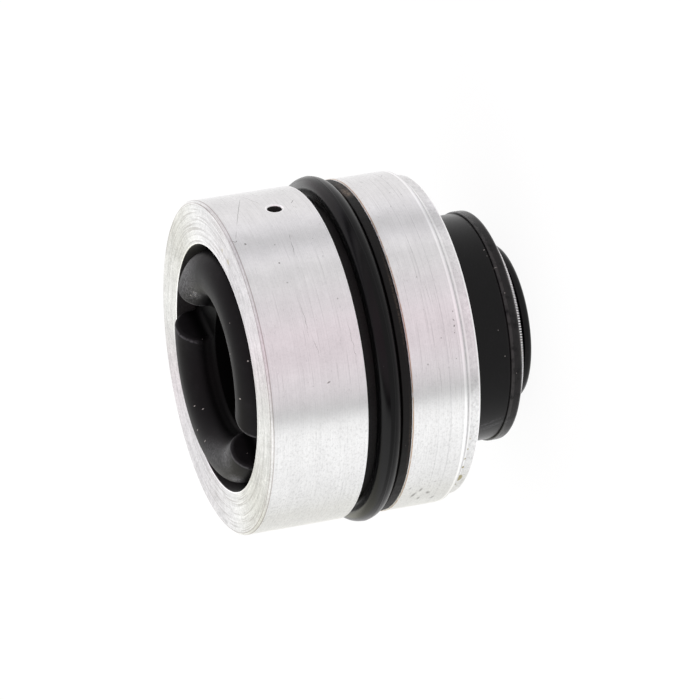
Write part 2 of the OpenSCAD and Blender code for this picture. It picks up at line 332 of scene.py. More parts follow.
class Graph:
    """Node tree of one material or of the world."""

    patchy: Pattern = Pattern(0.7, 3.0, 0.6)

    def __init__(self, tree: bpy.types.NodeTree) -> None:
        """Empties the tree."""
        self.tree = tree
        tree.nodes.clear()

    def add(self, kind: str, inputs: Optional[dict] = None, settings: Optional[dict] = None,
            output: Union[int, str] = 0) -> Wire:
        """Adds any node.

        Args:
            kind: The node's type.
            inputs: Value or wire of each socket that is set, by the socket's name or place.
            settings: Properties that are set before the sockets.
            output: Name or place of the output that is wanted.

        Returns:
            That output.
        """
        node = self.tree.nodes.new(kind)
        for name, value in (settings or {}).items():
            setattr(node, name, value)
        for key, value in (inputs or {}).items():
            if isinstance(value, Wire):
                self.tree.links.new(value.socket, node.inputs[key])
            else:
                node.inputs[key].default_value = value
        return Wire(self, node.outputs[output] if node.outputs else None)

    def mix(self, share: Value, first: Union[Wire, Colour], second: Union[Wire, Colour]) -> Wire:
        """Blends two colours.

        Args:
            share: Share of the second colour.
            first: Colour at 0.
            second: Colour at 1.

        Returns:
            The blended colour.
        """
        a, b = (c if isinstance(c, Wire) else (*c, 1.0) for c in (first, second))
        return self.add("ShaderNodeMix", {0: share, 6: a, 7: b}, {"data_type": "RGBA"}, 2)

    def vector(self, x: Value, y: Value, z: Value) -> Wire:
        """A vector from three values."""
        return self.add("ShaderNodeCombineXYZ", {0: x, 1: y, 2: z})

    def noise(self, where: Wire, pattern: Pattern) -> Wire:
        """Value noise between 0 and 1.

        Args:
            where: Place at which it is read.
            pattern: The noise's scale and detail.

        Returns:
            The noise.
        """
        inputs = {"Vector": where, "Scale": pattern.scale, "Detail": pattern.detail,
                  "Roughness": pattern.rough}
        return self.add("ShaderNodeTexNoise", inputs)

    def specks(self, where: Wire, scale: float, size: float, share: float) -> Wire:
        """Small round specks, one in some of the cells of a Voronoi pattern.

        Args:
            where: Place in millimetres.
            scale: Cells in a millimetre.
            size: Radius of the largest speck, as a share of a cell.
            share: Share of the cells that hold one.

        Returns:
            1 inside a speck and 0 outside.
        """
        cell = self.add("ShaderNodeTexVoronoi", {"Vector": where, "Scale": scale})
        colour = Wire(self, cell.socket.node.outputs["Color"])
        chance = self.add("ShaderNodeSeparateColor", {0: colour})
        reach = chance.ramp(1 - share, 1.0, Ease.STRAIGHT) * size
        return (reach - cell).ramp(0.0, size * 0.3)

    def marks(self, place: "Place", marks: Sequence["Mark"]) -> Wire:
        """Scratches, specks or stains: 1 in the middle of each, falling to 0 at its outline.

        Args:
            place: Where the point lies.
            marks: The marks.

        Returns:
            The strongest mark at the point.
        """
        found = place.depth * 0.0
        for mark in marks:
            inputs = {"Vector": place.unrolled, "Location": mark.middle(),
                      "Rotation": (0.0, 0.0, math.radians(mark.lean)), "Scale": mark.halves()}
            near = self.add("ShaderNodeMapping", inputs, {"vector_type": "TEXTURE"})
            spot = self.add("ShaderNodeTexGradient", {0: near}, {"gradient_type": "SPHERICAL"}, 1)
            found = found.most(spot * mark.strength)
        return found

    def rings(self, place: "Place", rings: Sequence["Ring"], under: Wire) -> Wire:
        """Draws thin lines round the part over a colour.

        A line fades out where the patches' noise is low, and more of it the more broken it is.

        Args:
            place: Where the point lies.
            rings: The lines.
            under: Colour under them.

        Returns:
            The colour with the lines.
        """
        patches = self.noise(place.point, self.patchy)
        for ring in rings:
            inputs = {0: place.section, 1: (ring.radius, ring.depth, 0.0)}
            off = self.add("ShaderNodeVectorMath", inputs, {"operation": "DISTANCE"}, 1)
            share = off.ramp(ring.width * 0.5, ring.width * 0.25) * ring.strength
            if ring.broken:
                gone = 0.05 + 0.3 * ring.broken
                share = share * patches.ramp(gone, gone + 0.3)
            under = self.mix(share, under, ring.colour)
        return under

    def stops(self, value: Wire, table: Sequence[tuple[float, Colour]]) -> Wire:
        """Colour that runs straight from each stop to the next.

        Args:
            value: Value between 0 and 1.
            table: Place and colour of each stop, in rising order.

        Returns:
            The colour.
        """
        found = self.add("ShaderNodeValToRGB", {0: value})
        elements = found.socket.node.color_ramp.elements
        elements[0].position, elements[1].position = table[0][0], table[-1][0]
        elements[0].color, elements[1].color = (*table[0][1], 1.0), (*table[-1][1], 1.0)
        for spot, colour in table[1:-1]:
            elements.new(spot).color = (*colour, 1.0)
        return found

    def end(self, kind: str, shader: Wire) -> None:
        """Joins a shader to the output node of the given type."""
        self.add(kind, {0: shader})


@dataclass(frozen=True)
class Mark:
    """A scratch, speck or stain at one place of a round piece, long round the axis unless it leans."""

    azimuth: float
    depth: float
    length: float
    width: float
    lean: float = 0.0
    strength: float = 1.0
    radius: float = LAND_R
    reach: float = 2.0

    @classmethod
    def between(cls, first: tuple[float, float], last: tuple[float, float], width: float,
                strength: float = 1.0) -> "Mark":
        """A straight scratch on the lands.

        Args:
            first: Azimuth and depth of its start.
            last: Azimuth and depth of its end.
            width: Its width.
            strength: Its strength.

        Returns:
            The scratch.
        """
        run = math.radians(last[0] - first[0]) * LAND_R
        drop = last[1] - first[1]
        return cls((first[0] + last[0]) / 2, (first[1] + last[1]) / 2, math.hypot(run, drop), width,
                   math.degrees(math.atan2(drop, run)), strength)

    def middle(self) -> Corner:
        """Middle of the mark on the unrolled piece."""
        return math.radians(self.azimuth) * LAND_R, self.depth, self.radius

    def halves(self) -> Corner:
        """Half sizes round the axis, down and out."""
        return self.length / 2, self.width / 2, self.reach / 2


@dataclass(frozen=True)
class Ring:
    """A thin line all the way round the part, at one radius and depth, whole or broken by patches."""

    radius: float
    depth: float
    width: float
    strength: float
    colour: Colour
    broken: float = 0.0


@dataclass(frozen=True)
class Place:
    """Wires that say where a point of a round piece lies, in millimetres."""

    point: Wire
    x: Wire
    y: Wire
    radius: Wire
    depth: Wire
    up: Wire
    turn: Wire
    unrolled: Wire
    section: Wire

    @classmethod
    def of(cls, graph: Graph) -> "Place":
        """Works the place out from object coordinates.

        Args:
            graph: The material's graph.

        Returns:
            The point, its parts, its distance from the axis, its depth, how far its surface faces up,
            its azimuth in radians, its place on the piece unrolled at the lands' radius, and its place
            in the plane of radius and depth.
        """
        found = graph.add("ShaderNodeTexCoord", output="Object")
        point = graph.add("ShaderNodeVectorMath", {0: found, "Scale": 1 / MM}, {"operation": "SCALE"})
        parts = graph.add("ShaderNodeSeparateXYZ", {0: point}).socket.node.outputs
        x, y, z = (Wire(graph, parts[i]) for i in range(3))
        normal = graph.add("ShaderNodeTexCoord", output="Normal")
        up = graph.add("ShaderNodeSeparateXYZ", {0: normal}, output=2)
        radius, depth = (x * x + y * y).math(Operation.SQUARE_ROOT), FACE_Z - z
        turn = y.math(Operation.ANGLE, x)
        unrolled = graph.vector(turn * LAND_R, depth, radius)
        return cls(point, x, y, radius, depth, up, turn, unrolled, graph.vector(radius, depth, 0.0))

    def drawn(self, share: float, along: Wire) -> Wire:
        """Draws the place out round the axis, so that noise on it makes long lines.

        Args:
            share: How fast the noise changes round the axis, for each millimetre.
            along: What it changes with from line to line.

        Returns:
            The place for the noise.
        """
        return self.depth.graph.vector(self.x * share, self.y * share, along)

    def laid(self, across: float, down: float, out: float) -> Wire:
        """Lays the place flat, so that noise on it makes grains of one shape all round.

        Args:
            across: How fast the noise changes round the axis, for each millimetre.
            down: How fast it changes with depth.
            out: How fast it changes with radius.

        Returns:
            The place for the noise.
        """
        return self.depth.graph.vector(self.turn * (LAND_R * across), self.depth * down, self.radius * out)


@dataclass(frozen=True)
class Finish:
    """What every finish has: the slot that it stands for, a colour and a roughness."""

    slot: str
    colour: Colour
    roughness: float

    def material(self) -> bpy.types.Material:
        """Makes the material, with one Principled shader fed by the finish's own sockets.

        Returns:
            The material, named after its slot.
        """
        made = bpy.data.materials.new(self.slot)
        made.use_nodes = True
        graph = Graph(made.node_tree)
        shader = graph.add("ShaderNodeBsdfPrincipled", self.sockets(graph, Place.of(graph)))
        graph.end("ShaderNodeOutputMaterial", shader)
        return made

    def sockets(self, graph: Graph, place: Place) -> Sockets:
        """Sockets of the Principled shader; each finish has its own."""
        raise NotImplementedError

    def toned(self, share: float) -> Colour:
        """The finish's colour, made darker or lighter by a share."""
        return tuple(c * share for c in self.colour)

    @staticmethod
    def bump(graph: Graph, height: Wire, depth: float) -> Wire:
        """Turns a height between 0 and 1 into a bent normal.

        Args:
            graph: The material's graph.
            height: The height.
            depth: How deep the relief is, in millimetres.

        Returns:
            The normal.
        """
        return graph.add("ShaderNodeBump", {"Height": height, "Distance": depth * MM, "Strength": 1.0})


@dataclass(frozen=True)
class Cut:
    """Wires of a turned surface: its share of a flat face, its turning marks, its grain and its clouds."""

    face: Wire
    lines: Wire
    grain: Wire
    cloud: Wire


@dataclass(frozen=True)
class TurnedAluminium(Finish):
    """Aluminium off the lathe: fine lines round the lands, rings on the faces, wear and stains, with painted
    highlights on some edges and painted shade in the groove, the bleed hole and the bore.

    The metal's colours run from its own, dimmed, to the tint on the lands, and from dark to light on the
    faces. A pitch is the distance at which lines, rings or arcs repeat. The shoulder's coarser turning
    sets in over the hatched depths. Each wear is the share at which that kind of wear shows.
    """

    tint: Colour = linear("f6f6f6")
    dim: float = 0.78
    face_dark: Colour = linear("a3a3a3")
    face_light: Colour = linear("e3e3e3")
    arc: Colour = linear("8f8a86")
    arc_share: float = 0.6
    wear: Colour = linear("6a6764")
    stain: Colour = linear("9c9054")
    painted_shade: Colour = linear("0e0c0b")
    gloss: float = 0.1
    anisotropy: float = 1.0
    grain_turn: float = 0.25
    relief: float = 0.004
    line_pitch: float = 0.13
    ring_pitch: float = 0.42
    arc_pitch: float = 0.17
    arc_azimuth: float = 132.0
    hatched: tuple[float, float] = (30.3, 30.8)
    # Painted shade: in the groove and the hole it sets in this far inside the lands, and in the bore it sets
    # in inside bore_r.
    shade_drop: float = 0.25
    bore_r: float = POCKET_R + 0.03
    line_wear: float = 0.2
    fleck_wear: float = 0.28
    sand_wear: float = 0.24
    dot_wear: float = 0.45
    scratch_wear: float = 0.8
    turning_noise: Pattern = Pattern(1.0, 2.0, 0.6)
    thin_noise: Pattern = Pattern(1.0, 1.0)
    fleck_noise: Pattern = Pattern(1.0, 3.0, 0.7)
    sand_noise: Pattern = Pattern(1.0, 3.0, 0.75)
    grain_noise: Pattern = Pattern(5.0, 4.0, 0.7)
    cloud_noise: Pattern = Pattern(0.35)
    mottle_noise: Pattern = Pattern(1.7, 4.0, 0.75)
    warp_noise: Pattern = Pattern(0.9)
    # The hole's mark places the painted highlight round its rim and the painted shade inside it.
    holes: tuple[Mark, ...] = ()
    # Edge lines: most are the metal's own lines and stains, but the white ones are painted highlights and
    # one grey line is painted shade.
    edges: tuple[Ring, ...] = ()
    scratches: tuple[Mark, ...] = ()
    stains: tuple[Mark, ...] = ()

    def turning(self, graph: Graph, place: Place, face: Wire) -> Wire:
        """Turning marks, which change with depth on the lands and with radius on the faces.

        Args:
            graph: The material's graph.
            place: Where the point lies.
            face: Share of a flat face.

        Returns:
            The marks, between 0 and 1.
        """
        along = place.depth / self.line_pitch
        along = along + (place.radius / self.ring_pitch - along) * face
        return graph.noise(place.drawn(0.1, along), self.turning_noise)

    def arcs(self, graph: Graph, place: Place, face: Wire) -> Wire:
        """Thin arcs on the faces, which show at one azimuth and opposite it.

        Args:
            graph: The material's graph.
            place: Where the point lies.
            face: Share of a flat face.

        Returns:
            Share of the arcs.
        """
        thin = graph.noise(place.drawn(0.12, place.radius / self.arc_pitch), self.thin_noise)
        facing = abs((place.turn - math.radians(self.arc_azimuth)).math(Operation.COSINE))
        return thin.ramp(0.54, 0.68) * facing.ramp(0.45, 0.95) * face

    def sand(self, graph: Graph, place: Place) -> Wire:
        """Dark grains, on the two parts of the lands that bright light rakes.

        Args:
            graph: The material's graph.
            place: Where the point lies.

        Returns:
            Share of the grains.
        """
        raked = place.turn.ramp(0.5, 0.3).most(place.turn.ramp(1.85, 2.2))
        return graph.noise(place.laid(1.9, 2.9, 2.6), self.sand_noise).ramp(0.46, 0.7) * raked

    def scratched(self, graph: Graph, place: Place) -> Wire:
        """Single scratches, whose outlines noise bends a little.

        Args:
            graph: The material's graph.
            place: Where the point lies.

        Returns:
            Share of the scratches.
        """
        warp = graph.noise(place.point, self.warp_noise) - 0.5
        bent = graph.add("ShaderNodeVectorMath", {0: place.unrolled, 1: graph.vector(warp, warp * 0.5, 0.0)})
        return graph.marks(replace(place, unrolled=bent), self.scratches).ramp(0.0, 0.4)

    def worn(self, graph: Graph, place: Place, cloud: Wire) -> Wire:
        """Dark wear: long lines round the axis, short flecks, grains, dots and the single scratches.

        Args:
            graph: The material's graph.
            place: Where the point lies.
            cloud: Clouds that set lines in some places and flecks in the others.

        Returns:
            Share of the wear.
        """
        rare = graph.noise(place.drawn(0.08, place.depth * 4.5), self.thin_noise).ramp(0.64, 0.72)
        short = graph.noise(place.laid(1.3, 2.6, 2.6), self.fleck_noise).ramp(0.56, 0.76)
        lines = rare * cloud.ramp(0.35, 0.65) * self.line_wear
        flecks = short * cloud.ramp(0.7, 0.3) * self.fleck_wear
        dots = graph.specks(place.point, 0.9, 0.16, 0.3) * self.dot_wear
        return lines.most(flecks, self.sand(graph, place) * self.sand_wear, dots,
                          self.scratched(graph, place) * self.scratch_wear)

    def shaded_recesses(self, graph: Graph, place: Place, grain: Wire) -> Wire:
        """Painted shade in the O-ring groove, in the bleed hole and in the bore: these recesses are darkened
        to near black.

        Args:
            graph: The material's graph.
            place: Where the point lies.
            grain: Grain that thins the painted shade a little.

        Returns:
            Share of the painted shade.
        """
        low, high = GROOVE
        within = place.depth.ramp(low - 0.02, low + 0.05) * place.depth.ramp(high + 0.02, high - 0.05)
        drilled = graph.marks(place, self.holes).ramp(0.42, 0.46)
        sunk_shade = place.radius.ramp(LAND_R - self.shade_drop + 0.1, LAND_R - self.shade_drop)
        bore = place.radius.ramp(self.bore_r + 0.05, self.bore_r)
        return (within.most(drilled) * sunk_shade).most(bore) * (1.0 - grain * 0.05)

    def clean(self, graph: Graph, place: Place, cut: Cut) -> Wire:
        """The metal before wear and the painted shade, dark or light by turning marks, grain, mottling and
        clouds.

        Faces show these more strongly than the lands do, and so does the hatched end of the housing.

        Args:
            graph: The material's graph.
            place: Where the point lies.
            cut: The turned surface at the point.

        Returns:
            The colour.
        """
        mottle = graph.noise(place.point, self.mottle_noise) - 0.5
        hatched = place.depth.ramp(*self.hatched)
        fine = (cut.lines - 0.5) * (cut.face * 0.5 + 0.6) + (cut.grain - 0.5) * (cut.face * 0.8 + 0.7)
        rough = mottle * (cut.face * 0.8 + hatched * 1.2 + 0.5) + (cut.cloud - 0.5) * 0.4
        shade = fine + rough + 0.6
        land = graph.mix(shade, self.toned(self.dim), self.tint)
        metal = graph.mix(cut.face, land, graph.mix(shade, self.face_dark, self.face_light))
        return graph.mix(self.arcs(graph, place, cut.face) * self.arc_share, metal, self.arc)

    def sockets(self, graph: Graph, place: Place) -> Sockets:
        """Clean metal under the wear, the edge lines with their painted highlights and painted shade, a
        painted highlight round the hole's rim, the stains, and the painted shade in the groove, the hole and
        the bore.

        Args:
            graph: The material's graph.
            place: Where the point lies.

        Returns:
            The shader's sockets.
        """
        face = abs(place.up).ramp(0.6, 0.8)
        grain = graph.noise(place.point, self.grain_noise)
        cloud = graph.noise(place.point, self.cloud_noise)
        lines = self.turning(graph, place, face)
        metal = self.clean(graph, place, Cut(face, lines, grain, cloud))
        metal = graph.mix(self.worn(graph, place, cloud), metal, self.wear)
        metal = graph.rings(place, self.edges, metal)
        # Painted highlight: a white ring round the bleed hole's mouth.
        metal = graph.mix(graph.marks(place, self.holes).ramp(0.35, 0.38), metal, WHITE)
        spots = graph.marks(place, self.stains) * 2.0 + grain - 0.9
        metal = graph.mix(spots.ramp(0.0, 0.35) * 0.8, metal, self.stain)
        # Painted shade: the groove, the bleed hole and the bore are darkened to near black and lose their
        # metal.
        shaded_recesses = self.shaded_recesses(graph, place, grain)
        return {"Base Color": graph.mix(shaded_recesses, metal, self.painted_shade), "Metallic": 1.0 - shaded_recesses,
                "Anisotropic": self.anisotropy, "Anisotropic Rotation": self.grain_turn,
                "Roughness": (grain - 0.5) * 0.12 + self.roughness, "Specular IOR Level": self.gloss,
                "Normal": self.bump(graph, lines * 0.6 + grain * 0.4, self.relief)}


@dataclass(frozen=True)
class MouldedRubber(Finish):
    """Moulded black rubber with a fine skin, dust specks, a light bloom and dusty places, one of which is a
    painted light patch on the backup ring.
    """

    gloss: float = 0.2
    bloom: float = 0.3
    dust: float = 0.05
    relief: float = 0.006
    # This colour is the dust's on the marked places. On the backup ring it is also the colour of a painted
    # light patch.
    film_and_light: Colour = linear("76777a")
    speck: Colour = linear("b9b6b0")
    skin_noise: Pattern = Pattern(7.0, 3.0, 0.6)
    cloud_noise: Pattern = Pattern(0.5, 3.0, 0.6)
    dust_noise: Pattern = Pattern(3.6, 4.0, 0.8)
    dusty_and_lit: tuple[Mark, ...] = ()
    specks: tuple[Mark, ...] = ()
    edges: tuple[Ring, ...] = ()

    def powder_and_light(self, graph: Graph, place: Place) -> Wire:
        """Share of the dust, which lies in grains on the dusty places, and on the backup ring also of a
        painted light patch.
        """
        return graph.marks(place, self.dusty_and_lit) * graph.noise(place.point, self.dust_noise).ramp(0.4, 0.62)

    def bloomed(self, graph: Graph, place: Place, cloud: Wire) -> Wire:
        """Colour of the rubber, three times as light where the bloom is full."""
        return graph.mix(cloud.ramp(0.45, 0.8) * self.bloom, self.colour, self.toned(3))

    def sockets(self, graph: Graph, place: Place) -> Sockets:
        """A fine skin in the bump; clouds of bloom, dusty places, which on the backup ring hold a painted
        light patch, and pale specks in the colour.

        Args:
            graph: The material's graph.
            place: Where the point lies.

        Returns:
            The shader's sockets.
        """
        skin = graph.noise(place.point, self.skin_noise)
        cloud = graph.noise(place.point, self.cloud_noise)
        rubber = graph.mix(self.powder_and_light(graph, place), self.bloomed(graph, place, cloud), self.film_and_light)
        rubber = graph.rings(place, self.edges, rubber)
        chosen = graph.marks(place, self.specks).ramp(0.0, 0.5)
        specks = graph.specks(place.point, 1.3, 0.09, self.dust).most(chosen)
        return {"Base Color": graph.mix(specks * 0.8, rubber, self.speck),
                "Roughness": (cloud - 0.5) * 0.15 + self.roughness, "Specular IOR Level": self.gloss,
                "Normal": self.bump(graph, skin, self.relief)}


@dataclass(frozen=True)
class NotchedRubber(MouldedRubber):
    """The bumper's rubber: painted shade down in the notches and the throat, with dust along the notches'
    edges.

    Painted shade darkens it over the sunk depths, and the rim is where the dust lies, beside a notch's
    middle.
    """

    # Painted shade: over these depths, in the notches and the throat, the rubber darkens to this share of
    # its colour.
    sunk_shade: tuple[float, float] = (0.3, 2.0)
    sunk_shade_tone: float = 0.03
    rim: tuple[float, float] = (3.3, 3.9)
    rim_dust: float = 0.3
    rim_noise: Pattern = Pattern(1.5, 3.0, 0.7)

    def bloomed(self, graph: Graph, place: Place, cloud: Wire) -> Wire:
        """Colour of the rubber, with painted shade that darkens it with depth."""
        rubber = super().bloomed(graph, place, cloud)
        return graph.mix(place.depth.ramp(*self.sunk_shade), rubber, self.toned(self.sunk_shade_tone))

    def powder_and_light(self, graph: Graph, place: Place) -> Wire:
        """Adds the lines of dust, which lie at one distance beside each notch's middle.

        Args:
            graph: The material's graph.
            place: Where the point lies.

        Returns:
            Share of all the dust.
        """
        lean = math.radians(NOTCH_LEAN)
        beside = abs(place.y * math.cos(lean) + abs(place.x) * math.sin(lean))
        near, far = self.rim
        middle = (near + far) / 2
        line = beside.ramp(near, middle) * beside.ramp(far, middle) * place.depth.ramp(1.6, 0.6)
        patches = graph.noise(place.point, self.rim_noise).ramp(0.3, 0.6)
        return super().powder_and_light(graph, place).most(line * patches * self.rim_dust)


@dataclass(frozen=True)
class BareMetal(Finish):
    """Plain steel: drawn wire or stamped sheet with a faint grain."""

    metallic: float = 1.0
    relief: float = 0.003
    grain_noise: Pattern = Pattern(3.0, 3.0, 0.6)

    def sockets(self, graph: Graph, place: Place) -> Sockets:
        """A faint grain in the colour, the roughness and the bump.

        Args:
            graph: The material's graph.
            place: Where the point lies.

        Returns:
            The shader's sockets.
        """
        grain = graph.noise(place.point, self.grain_noise)
        return {"Base Color": graph.mix(grain, self.toned(0.8), self.colour), "Metallic": self.metallic,
                "Roughness": (grain - 0.5) * 0.2 + self.roughness,
                "Normal": self.bump(graph, grain, self.relief)}


@dataclass(frozen=True)
class DullPolymer(Finish):
    """Sintered lining or white polymer: a dull mottled face."""

    relief: float = 0.004
    mottle_noise: Pattern = Pattern(2.0, 4.0, 0.6)

    def sockets(self, graph: Graph, place: Place) -> Sockets:
        """Mottling in the colour, the roughness and the bump.

        Args:
            graph: The material's graph.
            place: Where the point lies.

        Returns:
            The shader's sockets.
        """
        mottle = graph.noise(place.point, self.mottle_noise)
        return {"Base Color": graph.mix(mottle, self.toned(0.75), self.colour),
                "Roughness": (mottle - 0.5) * 0.2 + self.roughness,
                "Normal": self.bump(graph, mottle, self.relief)}


def hand_over(piece: bpy.types.Object, node: str, finish: Finish) -> None:
    """Dresses a new piece and lets it stand for a CAD node.

    Args:
        piece: The new piece.
        node: The node that it replaces.
        finish: Its finish.
    """
    piece.data.materials.append(finish.material())
    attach(piece, BODY)
    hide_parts(node)
    log.info("%s: %d faces in place of %s", piece.name, len(piece.data.polygons), node)


def dress_node(node: str, finish: Finish) -> None:
    """Gives a CAD node that stays its finish.

    Args:
        node: The node's name.
        finish: Its finish.
    """
    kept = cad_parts[node]
    made = finish.material()
    if not kept.material_slots:
        kept.data.materials.append(made)
    for slot in kept.material_slots:
        slot.material = made
    log.info("%s: kept and dressed", node)


@dataclass
class BleedHole:
    """Drilled oil passage from the front land into the chamber.

    Its mouths lie in two patches of the housing, each as wide as twice the half turn and as high as
    twice its own half. The shares place the rings between a patch's edge, at 0, and the mouth, at 1.
    """

    azimuth: float = 107.0
    depth: float = 9.05
    hole_r: float = 1.1
    bevel: float = 0.15
    half_turn: float = 5.625
    outer_half: float = 2.4
    inner_half: float = 1.325
    inner_bevel: float = 0.04
    wall_inset: float = 0.1
    shares: tuple[float, ...] = (0, 0.35, 0.7, 0.93, 1)
    steps: int = 16

    def turns(self) -> Array:
        """Azimuths, in degrees, of the columns that the hole's patch lies between."""
        return self.azimuth + np.linspace(-self.half_turn, self.half_turn, self.steps + 1)

    def rows(self, half: float) -> Array:
        """Depths of the rows that the hole's patch lies between."""
        return self.depth + np.linspace(-half, half, self.steps + 1)

    def ring(self, radius: float, across: Array, down: Array) -> Array:
        """Places a ring of points on a cylinder about the part's axis.

        A point that lies u beside the hole's own axis lies sqrt(radius^2 - u^2) out along it.

        Args:
            radius: Radius of the cylinder.
            across: Distance of each point beside the hole's axis, round the part.
            down: Distance of each point below the hole's axis.

        Returns:
            The ring of points.
        """
        out = np.sqrt(radius ** 2 - across ** 2)
        turn = math.radians(self.azimuth)
        x = out * math.cos(turn) - across * math.sin(turn)
        y = out * math.sin(turn) + across * math.cos(turn)
        return np.stack((x, y, FACE_Z - self.depth - down), -1)

    def frame_ring(self, radius: float, half: float) -> tuple[Array, Array]:
        """Points round the edge of the patch, from one corner round to the next.

        Args:
            radius: Radius of the cylinder that the patch lies on.
            half: Half of the patch's height.

        Returns:
            Distances across and down.
        """
        run = np.linspace(-1, 1, self.steps + 1)[:-1]
        one = np.ones(self.steps)
        side = np.concatenate((run, one, -run, -one))
        drop = np.concatenate((-one, run, one, -run))
        return radius * np.sin(np.radians(self.half_turn) * side), half * drop

    def grid(self, outer_r: float, inner_r: float) -> Array:
        """The patch on the land, the hole and the patch on the chamber's wall, as one grid.

        Each ring is a blend of the patch's edge and a circle about the hole's axis.

        Args:
            outer_r: Radius of the land.
            inner_r: Radius of the chamber.

        Returns:
            Rings by points by three.
        """
        angle = np.radians(np.arange(4 * self.steps) * 90 / self.steps - 135)
        edge_r = self.hole_r + self.bevel
        inner_rim = self.hole_r + self.inner_bevel
        walls = ((outer_r, self.outer_half, edge_r), (inner_r, self.inner_half, inner_rim))
        patches = []
        for radius, half, rim in walls:
            across, down = self.frame_ring(radius, half)
            patches.append([self.ring(radius, across * (1 - s) + rim * np.cos(angle) * s,
                                      down * (1 - s) + rim * np.sin(angle) * s) for s in self.shares])
        deep = outer_r - self.bevel
        across, down = self.hole_r * np.cos(angle), self.hole_r * np.sin(angle)
        stops = (deep, deep - self.wall_inset, inner_r + self.wall_inset)
        tube = [self.ring(radius, across, down) for radius in stops]
        return np.array(patches[0] + tube + patches[1][::-1])


@dataclass
class Housing:
    """Turned aluminium housing: lands, O-ring groove, shoulder, stepped bore and bleed hole.

    From the open face down, the bore has the pocket with its groove for the bumper's snap flange, the
    ledge, the oil chamber, and the seats of the bush, of the oil seal and of the dust seal. A drop is a
    step in from the lands. Corners are rounded fine or soft.
    """

    finish: Finish
    hole: BleedHole
    length: float = 32.6
    edge: float = 0.35
    nick_share: float = 0.375
    fine: float = 0.05
    soft: float = 0.12
    groove_corner: float = 0.25
    groove_drop: float = 2.7
    shoulder_top: float = 30.5
    shoulder_drop: float = 0.9
    pocket_bevel: float = 0.15
    snap: tuple[float, float] = (3.1, 6.05)
    snap_r: float = 19.4
    ledge: float = 7.25
    chamber_r: float = 13.5
    chamber_end: float = 10.85
    bush_r: float = 10.05
    bush_lead: float = 0.3
    oil_r: float = 14.0
    oil_top: float = 23.1
    dust_r: float = 17.1
    dust_top: float = 28.8
    columns: int = 248

    def outline(self) -> Array:
        """The housing's section, from the mouth of the bore down inside and back up outside.

        Returns:
            The closed outline, radius and depth.
        """
        nick = self.nick_share * self.edge
        land, groove_r, shoulder_r = LAND_R, LAND_R - self.groove_drop, LAND_R - self.shoulder_drop
        top, end = GROOVE
        fine, soft, corner = self.fine, self.soft, self.groove_corner
        return rounded([
            (POCKET_R + self.pocket_bevel, 0, fine), (POCKET_R, self.pocket_bevel, fine),
            (POCKET_R, self.snap[0], fine), (self.snap_r, self.snap[0], soft),
            (self.snap_r, self.snap[1], soft), (POCKET_R, self.snap[1], fine),
            (POCKET_R, self.ledge, soft), (self.chamber_r, self.ledge, fine),
            (self.chamber_r, self.chamber_end, soft),
            (self.bush_r + self.bush_lead, self.chamber_end, fine),
            (self.bush_r, self.chamber_end + self.bush_lead, fine),
            (self.bush_r, self.oil_top, fine), (self.oil_r, self.oil_top, soft),
            (self.oil_r, self.dust_top, fine), (self.dust_r, self.dust_top, soft),
            (self.dust_r, self.length - self.edge, fine), (self.dust_r + self.edge, self.length, fine),
            (shoulder_r - self.edge, self.length, fine), (shoulder_r, self.length - self.edge, fine),
            (shoulder_r, self.shoulder_top, soft), (land - self.edge, self.shoulder_top, fine),
            (land, self.shoulder_top - self.edge, fine), (land, end + nick, fine),
            (land - nick, end, fine), (groove_r, end, corner), (groove_r, top, corner),
            (land - nick, top, fine), (land, top - nick, fine), (land, self.edge, fine),
            (land - self.edge, 0, fine),
        ])

    @staticmethod
    def with_rows(outline: Array, radius: float, depths: Array) -> tuple[Array, int]:
        """Adds points to the straight stretch of an outline that lies at one radius.

        Args:
            outline: Radius and depth of the outline's points.
            radius: Radius of the stretch.
            depths: Depths to add, in rising order.

        Returns:
            The longer outline, and the place of the first point added.
        """
        ahead = np.roll(outline, -1, 0)
        level = (abs(outline[:, 0] - radius) < 1e-6) & (abs(ahead[:, 0] - radius) < 1e-6)
        low, high = np.minimum(outline[:, 1], ahead[:, 1]), np.maximum(outline[:, 1], ahead[:, 1])
        spot = int(np.nonzero(level & (low < depths[0]) & (high > depths[-1]))[0][0])
        rising = ahead[spot, 1] > outline[spot, 1]
        added = np.column_stack((np.full(len(depths), radius), depths if rising else depths[::-1]))
        return np.insert(outline, spot + 1, added, axis=0), spot + 1

    def build(self) -> None:
        """Builds the housing and puts it in the place of its node."""
        hole = self.hole
        outline, inner = self.with_rows(self.outline(), self.chamber_r, hole.rows(hole.inner_half))
        outline, outer = self.with_rows(outline, LAND_R, hole.rows(hole.outer_half))
        turns = hole.turns()
        rest = np.linspace(turns[-1], turns[0] + 360, self.columns + 1)[1:-1]
        azimuths = np.radians(np.concatenate((turns, rest)))
        keep = np.ones((len(outline), len(azimuths)), bool)
        for first in (inner, outer):
            keep[first:first + hole.steps, :hole.steps] = False
        skin = Skin().lay(turned(outline, azimuths), True, True, keep)
        skin.lay(hole.grid(LAND_R, self.chamber_r), close_columns=True)
        hand_over(skin.piece("turned_housing"), "seal_head_body", self.finish)


